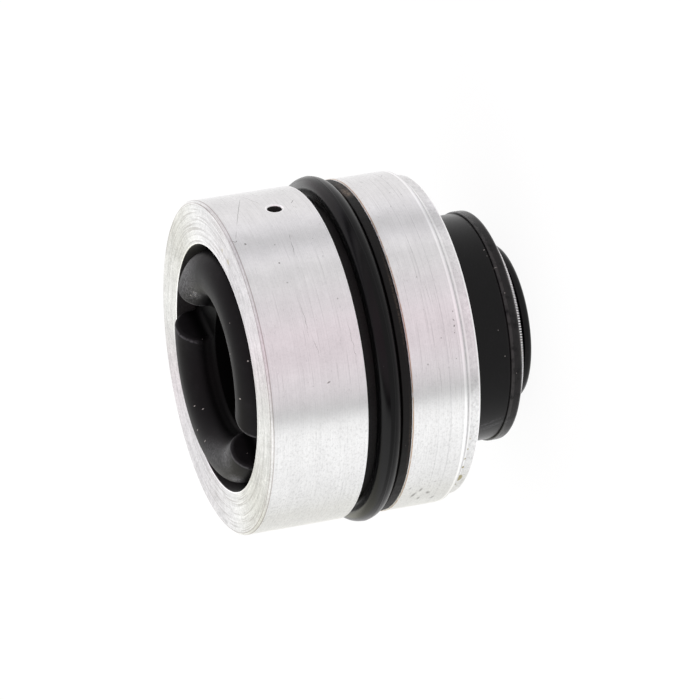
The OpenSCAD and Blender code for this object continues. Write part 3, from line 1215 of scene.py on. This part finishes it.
@dataclass
class TubeSeal:
    """The O-ring and its backup ring, which seal the housing in the damper's tube.

    The flash is the mould's thin line on the O-ring. The waves are the size, count and phase of the
    unevenness of the backup ring's outer edge.
    """

    ring_finish: Finish
    backup_finish: Finish
    ring_r: float = 24.12
    ring_t: float = 3.6
    ring_depth: float = 18.31
    flash_angle: float = -4.0
    flash_height: float = 0.035
    flash_width: float = 0.07
    flash_reach: float = 9.0
    twist: float = 9.0
    twist_count: int = 3
    lean: float = 4.0
    twist_from: float = 42.0
    section_points: int = 72
    backup_inner: float = 22.32
    backup_outer: float = 24.9
    backup: tuple[float, float] = (20.13, 21.58)
    backup_corners: tuple[float, float] = (0.1, 0.16)
    waves: tuple[tuple[float, int, float], ...] = (
        (0.022, 3, 0.4), (0.014, 11, 2.0), (0.012, 29, 4.1), (0.01, 61, 1.3), (0.008, 113, 5.2))
    columns: int = 360

    def build_ring(self) -> None:
        """Builds the O-ring with its two mould lines.

        The section is a circle whose radius grows at each mould line by a bell curve of the arc
        length from it. The ring lies a little twisted: at azimuth a the section turns by the twist
        times cos n(a - s) less the lean times sin(a - s), with n waves and s the start.
        """
        reach = self.flash_reach
        fine = np.radians(self.flash_angle + np.linspace(-reach, reach, 19))
        angle = np.concatenate((round_about(self.section_points), fine, fine + math.pi))
        angle = np.unique(np.round(np.mod(angle, 2 * math.pi), 6))
        radius = self.ring_t / 2
        off = np.mod(angle - math.radians(self.flash_angle) + math.pi / 2, math.pi) - math.pi / 2
        swell = radius + self.flash_height * np.exp(-((off * radius) / self.flash_width) ** 2)
        azimuths = round_about(self.columns)
        away = azimuths - math.radians(self.twist_from)
        turn = self.lean * np.sin(away) - self.twist * np.cos(self.twist_count * away)
        angle = angle[:, None] + np.radians(turn)
        section = np.stack((self.ring_r + swell[:, None] * np.cos(angle),
                            self.ring_depth - swell[:, None] * np.sin(angle)), -1)
        skin = Skin().lay(turned(section, azimuths), True, True)
        hand_over(skin.piece("rubber_o_ring"), "body_o_ring", self.ring_finish)

    def build_backup(self) -> None:
        """Builds the backup ring, whose outer edge is uneven.

        The outer points move by a sum of waves round the ring, each with its own size, count and phase.
        """
        low, high = self.backup
        inner, outer = self.backup_corners
        section = rounded([
            (self.backup_inner, low, inner), (self.backup_outer, low, outer),
            (self.backup_outer, high, outer), (self.backup_inner, high, inner),
        ])
        azimuths = round_about(self.columns)
        waves = sum(size * np.sin(count * azimuths + phase) for size, count, phase in self.waves)
        grid = np.repeat(section[:, None], self.columns, 1)
        loose = np.clip((grid[..., 0] - self.backup_inner) / (self.backup_outer - self.backup_inner), 0, 1)
        grid[..., 0] += loose ** 4 * waves
        skin = Skin().lay(turned(grid, azimuths), True, True)
        hand_over(skin.piece("backup_ring"), "body_backup_ring", self.backup_finish)


@dataclass
class ReboundBumper:
    """Rubber crown ring with two oil notches, on a flange that snaps into the housing.

    The crown stands proud of the open face. The lifts say where, between a notch's floor at 0 and the
    crown at 1, the rows of its walls lie. The edge radius is full from the edge ease times itself up.
    """

    finish: Finish
    outer_r: float = 17.45
    hole_r: float = 10.5
    throat_r: float = 9.8
    lip: float = 0.35
    crown_r: float = 3.3
    proud: float = 1.5
    floor: float = 3.15
    base: float = 6.03
    flange_r: float = 19.3
    notch_half: float = 3.15
    corner_r: float = 1.0
    edge_r: float = 0.6
    edge_ease: float = 1.5
    throat_inset: float = 0.08
    flange_inset: float = 0.05
    notches: tuple[float, float] = (-NOTCH_LEAN, 180 + NOTCH_LEAN)
    lower_lifts: float = 0.55
    upper_lifts: tuple[float, ...] = (0.45, 0.65, 0.85, 1.0)
    lobe_columns: int = 96

    def crown(self) -> Array:
        """Outline over the crown, from the flank's foot to the edge of the throat.

        The flank's points draw together towards the crown, as the square of their share of the way.

        Returns:
            The outline's points, radius and depth.
        """
        turn_depth = self.crown_r - self.proud
        flank = np.linspace((self.outer_r, self.floor), (self.outer_r, turn_depth), 9)[:-1]
        flank[:, 1] = self.floor - (self.floor - turn_depth) * np.linspace(0, 1, 9)[:-1] ** 2
        outer = arc((self.outer_r - self.crown_r, turn_depth), self.crown_r, 0, 90, 18)
        inner = arc((self.hole_r + self.crown_r, turn_depth), self.crown_r, 90, 180, 18)
        wall = np.linspace((self.hole_r, turn_depth), (self.throat_r + self.lip, self.floor - self.lip), 5)
        inset = self.throat_inset
        edge = np.linspace(wall[-1], (self.throat_r + inset, self.floor - inset), 4)
        return np.concatenate((flank, outer, inner, wall[1:], edge[1:]))

    def foot(self) -> Array:
        """Outline under the crown, from the throat's edge down round the flange.

        Returns:
            The outline's points, radius and depth.
        """
        steps = 3
        below = rounded([
            (self.throat_r, self.floor, 0.1), (self.throat_r, self.base, 0.15),
            (self.flange_r, self.base, 0.2), (self.flange_r, self.floor, 0.2),
            (self.outer_r + self.flange_inset, self.floor, 0.1),
        ], steps)
        return below[steps // 2 + 2:-(steps + 3)]

    def notch_side(self, crown: Array) -> tuple[Array, Array]:
        """The crown's outline in each column from a notch's middle to the start of a lobe.

        Across the floor the outline lies flat. Up the wall it is a blend of the floor and the
        crown's outline drawn in by the edge radius, and over the edge it comes out along a quarter
        circle. A point stands to the side by half the notch's width, less what the round corner at
        the floor takes: R - sqrt(R^2 - (R - h)^2) at height h.

        Args:
            crown: Outline over the crown.

        Returns:
            The outlines, columns by points by two, and the distances beside the notch's middle.
        """
        step = np.gradient(crown, axis=0)
        normal = np.column_stack((-step[:, 1], step[:, 0]))
        normal /= np.linalg.norm(normal, axis=1)[:, None]
        height = np.clip(self.floor - crown[:, 1], 0, None)
        run = np.concatenate(((0,), np.cumsum(np.linalg.norm(np.diff(crown, axis=0), axis=1))))
        flat = np.column_stack((crown[0, 0] + (crown[-1, 0] - crown[0, 0]) * run / run[-1],
                                np.full(len(crown), self.floor)))
        drawn = self.edge_r * np.clip(height / self.edge_r / self.edge_ease, 0, 1)[:, None]
        lifts = np.concatenate((np.linspace(0, self.lower_lifts, 9) ** 2, self.upper_lifts))
        angles = np.radians(np.linspace(90, 0, 8)[1:])
        inset = crown - normal * drawn
        walls = [flat + (inset - flat) * lift for lift in lifts]
        edges = [crown - normal * drawn * (1 - math.cos(angle)) for angle in angles]
        outlines = np.array([flat, flat] + walls + edges)
        beside = np.array([0, 0.5] + [1.0] * (len(walls) + len(edges)))[:, None]
        out = np.array([0.0] * (2 + len(walls)) + [1 - math.sin(a) for a in angles])[:, None]
        up = np.clip(self.floor - outlines[..., 1], 0, self.corner_r)
        taken = self.corner_r - np.sqrt(self.corner_r ** 2 - (self.corner_r - up) ** 2)
        width = self.notch_half + out * drawn[:, 0]
        return outlines, beside * (width - taken)

    def build(self) -> None:
        """Builds the bumper and puts it in the place of its node."""
        crown, foot = self.crown(), self.foot()
        side, apart = self.notch_side(crown)
        apart = np.concatenate((apart, np.repeat(apart[:, :1], len(foot), 1)), 1)
        side = np.concatenate((side, np.broadcast_to(foot, (len(side), *foot.shape))), 1)
        lean = np.arcsin(np.clip(apart / side[..., 0], -1, 1))
        first, second = np.radians(self.notches)
        blocks, turns = [], []
        share = np.linspace(0, 1, self.lobe_columns + 2)[1:-1, None]
        for start, stop in ((first, second), (second, first + 2 * math.pi)):
            blocks += [side, np.repeat(side[-1:], self.lobe_columns, 0), side[:0:-1]]
            left, right = start + lean[-1], stop - lean[-1]
            turns += [start + lean, left + (right - left) * share, stop - lean[:0:-1]]
        outlines, azimuths = np.concatenate(blocks), np.concatenate(turns)
        grid = turned(outlines.transpose(1, 0, 2), azimuths.T)
        skin = Skin().lay(grid, True, True)
        hand_over(skin.piece("rubber_bumper", weld=0.003), "rebound_bumper", self.finish)


@dataclass
class GarterSpring:
    """A coil of wire closed into a ring, which presses a seal's lip on the rod."""

    name: str
    node: str
    finish: Finish
    ring_r: float
    coil_t: float
    depth: float
    wire_t: float
    turns: int
    points_per_turn: int = 14
    sides: int = 7

    def build(self) -> None:
        """Builds the spring and puts it in the place of its node.

        The wire's middle runs at azimuth a and coil angle n a, at radius R + c cos(n a) and depth
        d - c sin(n a), where n is the number of turns. The wire's own section is a circle in the
        plane of the coil's spoke and of the direction at right angles to spoke and path.
        """
        count = self.turns * self.points_per_turn
        azimuth = round_about(count)
        coil = azimuth * self.turns
        reach = (self.coil_t - self.wire_t) / 2
        outward = np.column_stack((np.cos(azimuth), np.sin(azimuth), np.zeros(count)))
        upward = np.array((0.0, 0.0, 1.0))
        spoke = outward * np.cos(coil)[:, None] + upward * np.sin(coil)[:, None]
        middle = outward * self.ring_r + spoke * reach + upward * (FACE_Z - self.depth)
        path = np.roll(middle, -1, 0) - np.roll(middle, 1, 0)
        path /= np.linalg.norm(path, axis=1)[:, None]
        beside = np.cross(path, spoke)
        turn = round_about(self.sides)[None, :, None]
        grid = middle[:, None] + self.wire_t / 2 * (spoke[:, None] * np.cos(turn)
                                                    + beside[:, None] * np.sin(turn))
        hand_over(Skin().lay(grid, True, True).piece(self.name), self.node, self.finish)


@dataclass
class DustSeal:
    """Outer dust seal: barrel, end flange with its bead, neck, waist and lip head.

    Its bore has a lip at either end, each with a thin root behind it, and a pocket for grease between.
    """

    finish: Finish
    barrel_r: float = 17.08
    barrel_bevel: float = 0.35
    barrel_nick: float = 0.09
    nick_run: float = 0.1
    top: float = 29.6
    flange_start: float = 40.0
    flange_end: float = 41.85
    flange_r: float = 17.35
    bead: float = 0.035
    bead_run: float = 0.45
    neck_r: float = 13.9
    neck_end: float = 42.74
    groove_r: float = 15.3
    groove_depth: float = 0.3
    waist_r: float = 10.95
    waist: tuple[float, float] = (43.55, 44.0)
    head_r: float = 11.85
    head_start: float = 44.32
    nose_r: float = 0.8
    tip: float = 45.6
    mouth_r: float = 10.12
    outer_lip: float = 44.467
    inner_lip: float = 30.9
    roots: tuple[float, float] = (32.2, 42.2)
    root_r: float = 10.1
    grease: tuple[float, float] = (32.8, 41.6)
    grease_r: float = 10.7
    back_r: float = 10.16
    columns: int = 256

    def outline(self) -> Array:
        """The seal's section, from its inner face out, along the outside and back up the bore.

        Returns:
            The closed outline, radius and depth.
        """
        rim = self.flange_start + self.bead_run
        gap = self.flange_end - self.groove_depth
        return rounded([
            (self.barrel_r - self.barrel_bevel, self.top, 0.1),
            (self.barrel_r, self.top + self.barrel_bevel, 0.1),
            (self.barrel_r, self.flange_start - self.nick_run, 0.03),
            (self.barrel_r - self.barrel_nick, self.flange_start, 0.02),
            (self.flange_r, self.flange_start, 0.1),
            (self.flange_r, rim - self.bead, 0.03), (self.flange_r + self.bead, rim, 0.05),
            (self.flange_r, rim + self.bead, 0.03), (self.flange_r, self.flange_end, 0.55),
            (self.groove_r, self.flange_end, 0.08), (self.groove_r, gap, 0.18),
            (self.neck_r, gap, 0.6), (self.neck_r, self.neck_end, 0.25),
            (self.waist_r, self.waist[0], 0.3), (self.waist_r, self.waist[1], 0.25),
            (self.head_r, self.head_start, 0.15), (self.head_r, self.tip, self.nose_r),
            (self.mouth_r, self.tip, 0.12), (LIP_R, self.outer_lip, 0.06), (self.root_r, self.roots[1], 0.1),
            (self.grease_r, self.grease[1], 0.2), (self.grease_r, self.grease[0], 0.2),
            (self.root_r, self.roots[0], 0.1), (LIP_R, self.inner_lip, 0.06), (self.back_r, self.top, 0.1),
        ], steps=5)

    def build(self) -> None:
        """Builds the seal and puts it in the place of its node."""
        skin = Skin().lay(turned(self.outline(), round_about(self.columns)), True, True)
        hand_over(skin.piece("rubber_dust_seal"), "dust_seal", self.finish)


@dataclass
class HiddenStack:
    """The washers, the guide bush, the oil seal and its backup ring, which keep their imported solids."""

    washer_finish: Finish
    bush_finish: Finish
    seal_finish: Finish
    backup_finish: Finish

    def build(self) -> None:
        """Dresses each of them."""
        dress_node("bumper_washer", self.washer_finish)
        dress_node("seal_washer", self.washer_finish)
        dress_node("guide_bush", self.bush_finish)
        dress_node("oil_seal", self.seal_finish)
        dress_node("oil_seal_backup_ring", self.backup_finish)


ROSE = (1.0, 0.79, 0.88)
PALE_ROSE = (1.0, 0.86, 0.93)
BLUSH = (1.0, 0.95, 0.97)
COOL = (0.97, 0.92, 1.0)
WARM = (1.0, 0.99, 0.87)


@dataclass(frozen=True)
class Glow:
    """How bright the studio is in one direction round the part."""

    azimuth: float
    level: float
    tint: Colour = WHITE

    def stop(self, peak: float) -> tuple[float, Colour]:
        """Place of the direction between 0 and 1, and its colour as a share of the peak."""
        return (self.azimuth + 180) / 360, tuple(self.level * c / peak for c in self.tint)


@dataclass
class Studio:
    """Camera, floor and light, with the camera's place in the CAD frame as the photograph has it."""

    aim: tuple[float, float, float] = (0.427, -0.395, 24.642)
    distance: float = 786.80
    azimuth: float = 47.25
    elevation: float = 17.773
    roll: float = 99.402
    lens: float = 272.24
    sensor: float = 36.0
    clip: tuple[float, float] = (0.05, 50.0)
    floor_half: float = 6000.0
    floor_glow: float = 0.94
    horizon: tuple[float, float] = (0.03, 0.08)
    peak: float = 2.4
    glows: tuple[Glow, ...] = (
        Glow(-177, 1.15, BLUSH), Glow(-165, 1.29, BLUSH), Glow(-153, 1.67), Glow(-141, 1.99),
        Glow(-129, 1.2), Glow(-117, 1.76, WARM), Glow(-105, 1.02, WARM), Glow(-93, 1.18, WARM),
        Glow(-81, 1.3, WARM), Glow(-69, 1.58), Glow(-57, 1.86), Glow(-21, 2.16), Glow(-9, 2.08),
        Glow(-4, 2.15), Glow(2, 0.02, COOL), Glow(8, 0.02, COOL), Glow(15, 1.18, PALE_ROSE),
        Glow(27, 1.28, PALE_ROSE), Glow(39, 1.24, ROSE), Glow(51, 1.16, ROSE), Glow(63, 1.43, ROSE),
        Glow(75, 1.22, PALE_ROSE), Glow(87, 1.03, PALE_ROSE), Glow(98, 1.42, BLUSH), Glow(105, 0.4, BLUSH),
        Glow(112, 1.85, BLUSH), Glow(123, 1.22, COOL), Glow(129, 0.36, COOL), Glow(136, 0.22, COOL),
        Glow(147, 1.5, COOL), Glow(159, 1.43, BLUSH), Glow(171, 1.3, BLUSH),
    )

    def camera(self) -> None:
        """Places the camera: back along the view, with its top turned by the roll."""
        turn, tilt, roll = (math.radians(a) for a in (self.azimuth, self.elevation, self.roll))
        back = Vector((math.cos(turn) * math.cos(tilt), math.sin(turn) * math.cos(tilt), math.sin(tilt)))
        level = Vector((-math.sin(turn), math.cos(turn), 0))
        top = back.cross(level) * math.cos(roll) + level * math.sin(roll)
        right = top.cross(back)
        spot = (Vector(self.aim) + back * self.distance) * MM
        lens = bpy.data.cameras.new("camera")
        lens.lens, lens.sensor_width = self.lens, self.sensor
        lens.clip_start, lens.clip_end = self.clip
        holder = bpy.data.objects.new("camera", lens)
        turned_to = Matrix((right, top, back)).transposed().to_4x4()
        holder.matrix_world = Matrix.Translation(spot) @ turned_to
        bpy.context.scene.collection.objects.link(holder)
        bpy.context.scene.camera = holder

    def floor(self) -> None:
        """Lays a white floor that still takes a faint shadow of the part."""
        half = self.floor_half * MM
        corners = [(-half, -half, 0), (half, -half, 0), (half, half, 0), (-half, half, 0)]
        mesh = bpy.data.meshes.new("floor")
        mesh.from_pydata(corners, [], [(0, 1, 2, 3)])
        ground = bpy.data.objects.new("floor", mesh)
        bpy.context.scene.collection.objects.link(ground)
        made = bpy.data.materials.new("white_floor")
        made.use_nodes = True
        graph = Graph(made.node_tree)
        matt = graph.add("ShaderNodeBsdfDiffuse", {"Color": (1, 1, 1, 1)})
        glow = graph.add("ShaderNodeEmission", {"Color": (1, 1, 1, 1), "Strength": 1.0})
        share = self.seen(graph) * self.floor_glow
        graph.end("ShaderNodeOutputMaterial", graph.add("ShaderNodeMixShader", {0: share, 1: matt, 2: glow}))
        mesh.materials.append(made)

    @staticmethod
    def seen(graph: Graph) -> Wire:
        """Finds the rays that show the background: straight, mirrored or through glass.

        Args:
            graph: The floor's graph.

        Returns:
            1 for such a ray and 0 for any other.
        """
        path = graph.add("ShaderNodeLightPath").socket.node.outputs
        names = ("Is Camera Ray", "Is Glossy Ray", "Is Transmission Ray")
        straight, mirrored, through = (Wire(graph, path[name]) for name in names)
        return straight.most(mirrored, through)

    def sky(self) -> None:
        """Lights the part from all round, brighter from some sides than from others.

        Below the horizon's band the studio is plain white, and above it the glows set in.
        """
        world = bpy.data.worlds.new("studio")
        bpy.context.scene.world = world
        world.use_nodes = True
        graph = Graph(world.node_tree)
        toward = graph.add("ShaderNodeTexCoord", output="Generated")
        parts = graph.add("ShaderNodeSeparateXYZ", {0: toward}).socket.node.outputs
        x, y, z = (Wire(graph, part) for part in parts)
        share = y.math(Operation.ANGLE, x) / (2 * math.pi) + 0.5
        round_it = graph.stops(share, [glow.stop(self.peak) for glow in self.glows])
        colour = graph.mix(z.ramp(*self.horizon), (1 / self.peak,) * 3, round_it)
        graph.end("ShaderNodeOutputWorld",
                  graph.add("ShaderNodeBackground", {"Color": colour, "Strength": self.peak}))

    def build(self) -> None:
        """Sets the camera, the floor and the light."""
        self.camera()
        self.floor()
        self.sky()
        bpy.context.scene.view_settings.view_transform = "Standard"
        log.info("studio: camera, floor and light")


# The tables give each mark's azimuth, depth, length, width, lean, strength, radius and reach, and each
# line's radius, depth, width, strength, colour and how broken it is, in the order of Mark and Ring.
SCRATCHES = (
    Mark.between((122.5, 6.15), (97.0, 1.7), 0.08, 1.0), Mark.between((97.0, 1.7), (92.3, 0.9), 0.07, 0.8),
    Mark.between((122.5, 6.15), (110.0, 7.6), 0.07, 0.8),
    Mark.between((108.8, 11.9), (111.0, 12.6), 0.12), Mark.between((107.0, 11.8), (105.5, 12.3), 0.08),
    Mark.between((92.4, 9.0), (88.0, 8.8), 0.06, 0.8), Mark.between((88.4, 8.75), (81.3, 8.4), 0.07, 0.9),
    Mark.between((66.0, 7.0), (50.0, 7.2), 0.06, 0.8), Mark.between((54.0, 7.6), (44.0, 8.4), 0.05, 0.6),
    Mark.between((92.0, 0.2), (91.6, 1.1), 0.1), Mark(89.8, 2.03, 0.5, 0.36), Mark(79.7, 5.78, 0.4, 0.3),
    Mark(35.9, 6.7, 0.6, 0.5, -20.0, 0.2), Mark(36.6, 9.15, 1.0, 0.34, 60.0, 0.5),
    Mark(52.8, 29.3, 0.35, 0.16, 20.0),
    Mark(50.1, 29.2, 0.5, 0.18, -30.0), Mark(48.1, 29.15, 0.35, 0.2), Mark(46.1, 29.1, 0.25, 0.16),
    Mark(-20.5, 23.9, 2.6, 0.8, 15.0, 0.4), Mark(-17.2, 24.7, 1.8, 0.8, 5.0, 0.34),
    Mark(-20.2, 26.2, 2.0, 0.9, -10.0, 0.36), Mark(-26.4, 27.5, 2.0, 0.9, 10.0, 0.3),
    Mark(-24.6, 25.1, 1.8, 0.8, 0.0, 0.34), Mark(-15.0, 22.8, 1.4, 0.7, 20.0, 0.26),
    Mark(1.1, 4.4, 2.2, 0.6, 20.0, 0.18), Mark(-5.9, 10.5, 0.9, 0.5, 60.0, 0.2),
    Mark(-2.0, 5.6, 1.2, 0.5, 0.0, 0.14),
    Mark(121.3, 28.0, 2.0, 0.4, 20.0, 0.24), Mark(117.8, 24.2, 1.6, 0.5, -20.0, 0.16),
    Mark(117.6, 26.4, 1.2, 0.5, 10.0, 0.16), Mark(112.8, 27.6, 0.8, 0.3, -30.0, 0.2),
    Mark(97.4, 25.6, 0.6, 0.3, 20.0, 0.24), Mark(105.5, 29.1, 0.7, 0.3, 40.0, 0.16),
    Mark.between((119.0, 1.6), (112.0, 3.4), 0.05, 0.16),
    Mark.between((113.0, 1.0), (104.0, 1.9), 0.05, 0.16),
    Mark.between((126.0, 3.0), (114.0, 3.3), 0.05, 0.5), Mark.between((60.0, 13.2), (38.0, 13.8), 0.06, 0.6),
    Mark.between((40.0, 26.0), (24.0, 26.2), 0.06, 0.5), Mark.between((55.0, 26.3), (66.0, 26.0), 0.05, 0.5),
)
STAINS = (
    Mark(-17.5, 31.0, 2.8, 1.5, 0.0, 1.0, 24.2, 3.0), Mark(-10.0, 31.0, 0.9, 0.5, 0.0, 0.8, 24.1),
    Mark(-5.0, 30.95, 0.7, 0.4, 0.0, 0.7, 24.1), Mark(0.0, 31.1, 0.5, 0.4, 0.0, 0.7, 24.1),
    Mark(5.0, 31.2, 0.5, 0.3, 0.0, 0.6, 24.1), Mark(-23.0, 31.1, 0.9, 0.4, 0.0, 0.7, 24.1),
    Mark(91.7, 0.0, 3.6, 3.0, 0.0, 0.36, 21.2, 2.4), Mark(99.0, 0.0, 2.6, 3.0, 0.0, 0.33, 21.3, 2.0),
)
BROWN = linear("6e5a52")
GREY = linear("77757a")
# Lines round the housing: brown, orange and grey lines of the edges and the turning, with painted highlights
# (the white lines) and one painted shade line (grey, at depth 30.25 beside the step).
EDGE_LINES_AND_HIGHLIGHTS = (
    Ring(LAND_R, 0.35, 0.22, 0.5, BROWN), Ring(LAND_R - 0.35, 0.0, 0.2, 0.45, BROWN, 0.5),
    # Painted highlight: the white line on the front land's bevel beside the groove.
    Ring(LAND_R - 0.05, 14.76, 0.26, 1.0, WHITE), Ring(LAND_R, 21.73, 0.2, 0.8, linear("a87c48"), 0.5),
    # Painted highlight: the white line at the rear land's end. Painted shade: the grey line beside it at the
    # step.
    Ring(LAND_R, 29.84, 0.42, 0.9, WHITE), Ring(LAND_R - 0.1, 30.25, 0.3, 0.3, GREY),
    # Painted highlights: the white lines at the start of the shoulder and on its end bevel.
    Ring(LAND_R - 0.9, 30.88, 0.36, 1.0, WHITE), Ring(LAND_R - 1.1, 32.45, 0.6, 1.0, WHITE),
    # Painted highlight: the white line on the pocket's mouth bevel.
    Ring(18.6, 0.05, 0.26, 1.0, WHITE), Ring(LAND_R, 23.3, 0.14, 0.07, GREY, 1.0),
    Ring(LAND_R, 24.1, 0.14, 0.09, GREY, 1.0), Ring(LAND_R, 25.66, 0.15, 0.14, GREY, 0.8),
    Ring(LAND_R, 26.68, 0.14, 0.08, GREY, 1.0), Ring(LAND_R, 27.55, 0.18, 0.2, GREY, 0.7),
    Ring(LAND_R, 6.8, 0.14, 0.1, GREY, 1.0), Ring(LAND_R, 11.6, 0.14, 0.12, GREY, 1.0),
)
HOLE = BleedHole()
# The hole's mark places the painted highlight round its rim and the painted shade inside it.
HOLE_MARK = Mark(HOLE.azimuth, HOLE.depth, 4 * HOLE.hole_r, 4 * HOLE.hole_r, radius=22.0, reach=60.0)
ALUMINIUM = TurnedAluminium("turned_aluminium", (0.80, 0.80, 0.80), 0.42, holes=(HOLE_MARK,),
                            edges=EDGE_LINES_AND_HIGHLIGHTS, scratches=SCRATCHES, stains=STAINS)
BUMPER_DUST = (
    Mark(150.0, -1.0, 22.0, 4.0, 0.0, 0.75, 14.0, 9.0), Mark(149.0, -0.7, 9.0, 3.0, 0.0, 1.0, 11.5, 3.0),
    Mark(118.0, -0.2, 28.0, 2.4, 0.0, 0.6, 11.0, 2.0), Mark(-33.0, -1.2, 14.0, 3.0, 0.0, 0.6, 13.0, 6.0),
    Mark(-38.0, -0.2, 9.0, 3.0, 0.0, 0.9, 16.8, 3.0), Mark(-60.0, -1.0, 22.0, 3.0, 0.0, 0.4, 14.0, 7.0),
)
BUMPER_SPECKS = (
    Mark(-102.2, -0.19, 0.4, 0.5, 0.0, 0.7, 11.16, 0.7), Mark(-91.9, -1.45, 0.4, 0.5, 0.0, 0.7, 13.21, 0.5),
    Mark(-78.1, -1.33, 0.4, 0.5, 0.0, 0.8, 12.76, 0.5), Mark(28.1, -1.34, 0.4, 0.4, 0.0, 0.8, 15.15, 0.5),
    Mark(-108.1, -1.02, 0.35, 0.5, 0.0, 0.7, 12.08, 0.5), Mark(54.4, -1.5, 0.4, 0.4, 0.0, 0.6, 13.64, 0.4),
    Mark(148.0, -0.9, 0.5, 0.4, 0.0, 0.9, 11.7, 0.6), Mark(152.0, -0.5, 0.4, 0.4, 0.0, 0.8, 11.3, 0.6),
    Mark(48.1, 0.0, 0.5, 0.4, 0.0, 0.5, 16.9, 0.6), Mark(145.0, -0.7, 0.4, 0.4, 0.0, 0.7, 11.5, 0.6),
    Mark(156.0, -0.9, 0.4, 0.4, 0.0, 0.8, 11.8, 0.6),
)
BUMPER_RUBBER = NotchedRubber("bumper_rubber", (0.0062, 0.006, 0.0064), 0.5, gloss=0.07, relief=0.012,
                              dusty_and_lit=BUMPER_DUST, specks=BUMPER_SPECKS)
O_RING_RUBBER = MouldedRubber("o_ring_rubber", (0.001, 0.001, 0.0012), 0.22, gloss=0.15, bloom=0.15,
                              relief=0.003)
# Backup ring: the brown patch at the top, at azimuths 111 and 118, is painted light on the ring's side. The
# two long thin marks along its rear edge are dust.
BACKUP_DUST_AND_LIGHT = (Mark(111.0, 20.8, 4.4, 2.0, 0.0, 0.9, 24.9), Mark(118.0, 20.9, 6.0, 1.6, 0.0, 0.3, 24.9),
               Mark(60.0, 21.2, 20.0, 0.5, 0.0, 0.2, 24.9), Mark(10.0, 21.3, 20.0, 0.4, 0.0, 0.2, 24.9))
BACKUP_RUBBER = MouldedRubber("backup_rubber", (0.003, 0.0028, 0.0025), 0.5, gloss=0.16, relief=0.06,
                              film_and_light=linear("8a7c6c"), dusty_and_lit=BACKUP_DUST_AND_LIGHT)
SEAL_SPECKS = (
    Mark(86.2, 39.68, 0.4, 0.3, 60.0, 0.5, 17.08), Mark(82.2, 39.74, 0.5, 0.16, -60.0, 0.3, 17.08),
    Mark(74.2, 40.2, 1.0, 0.24, 80.0, 0.34, 17.3), Mark(60.5, 40.5, 0.4, 0.3, 0.0, 0.34, 17.35),
    Mark(29.6, 39.16, 0.4, 0.3, 0.0, 0.3, 17.08), Mark(43.0, 38.5, 0.4, 0.3, 0.0, 0.24, 17.08),
    Mark(20.0, 40.8, 0.4, 0.2, 0.0, 0.3, 17.35),
)
SEAL_DUST = (Mark(-15.0, 38.0, 10.0, 1.6, 55.0, 0.3, 17.08), Mark(-12.0, 37.2, 8.0, 1.2, 55.0, 0.3, 17.08))
SEAL_LINES = (Ring(17.36, 40.3, 0.6, 0.045, linear("b8b6b4"), 0.7),
              Ring(17.35, 40.9, 2.8, 0.025, linear("a8a6a4"), 0.6),
              Ring(17.3, 41.6, 0.3, 0.06, linear("b8b6b4"), 0.8))
SEAL_RUBBER = MouldedRubber("seal_rubber", (0.0014, 0.0013, 0.0016), 0.24, gloss=0.18, dust=0.02,
                            relief=0.002, dusty_and_lit=SEAL_DUST, specks=SEAL_SPECKS, edges=SEAL_LINES)
# Painted light: the spring wire is white and half metallic, whiter than steel, to stand in for light that
# the spring, deep between the seal's flange and head, does not get.
BRIGHTENED_SPRING_WIRE = BareMetal("spring_steel", WHITE, 0.3, metallic=0.5)
WASHER_STEEL = BareMetal("washer_steel", (0.45, 0.45, 0.47), 0.4)
BUSH_LINING = DullPolymer("bush_lining", (0.30, 0.26, 0.20), 0.5)
WHITE_PTFE = DullPolymer("white_ptfe", (0.78, 0.77, 0.72), 0.45)


def main() -> None:
    """Builds the studio and every piece of the seal head, in order."""
    logging.basicConfig(level=logging.INFO, format="%(message)s")
    Studio().build()
    Housing(ALUMINIUM, HOLE).build()
    tube_seal = TubeSeal(O_RING_RUBBER, BACKUP_RUBBER)
    tube_seal.build_ring()
    tube_seal.build_backup()
    ReboundBumper(BUMPER_RUBBER).build()
    DustSeal(SEAL_RUBBER).build()
    GarterSpring("dust_seal_garter", "dust_seal_spring", BRIGHTENED_SPRING_WIRE, ring_r=14.6, coil_t=1.4,
                 depth=42.27, wire_t=0.23, turns=236).build()
    GarterSpring("oil_seal_garter", "oil_seal_spring", BRIGHTENED_SPRING_WIRE, ring_r=10.77, coil_t=1.2,
                 depth=24.2, wire_t=0.3, turns=206).build()
    HiddenStack(WASHER_STEEL, BUSH_LINING, SEAL_RUBBER, WHITE_PTFE).build()


if __name__ == "__main__":
    main()
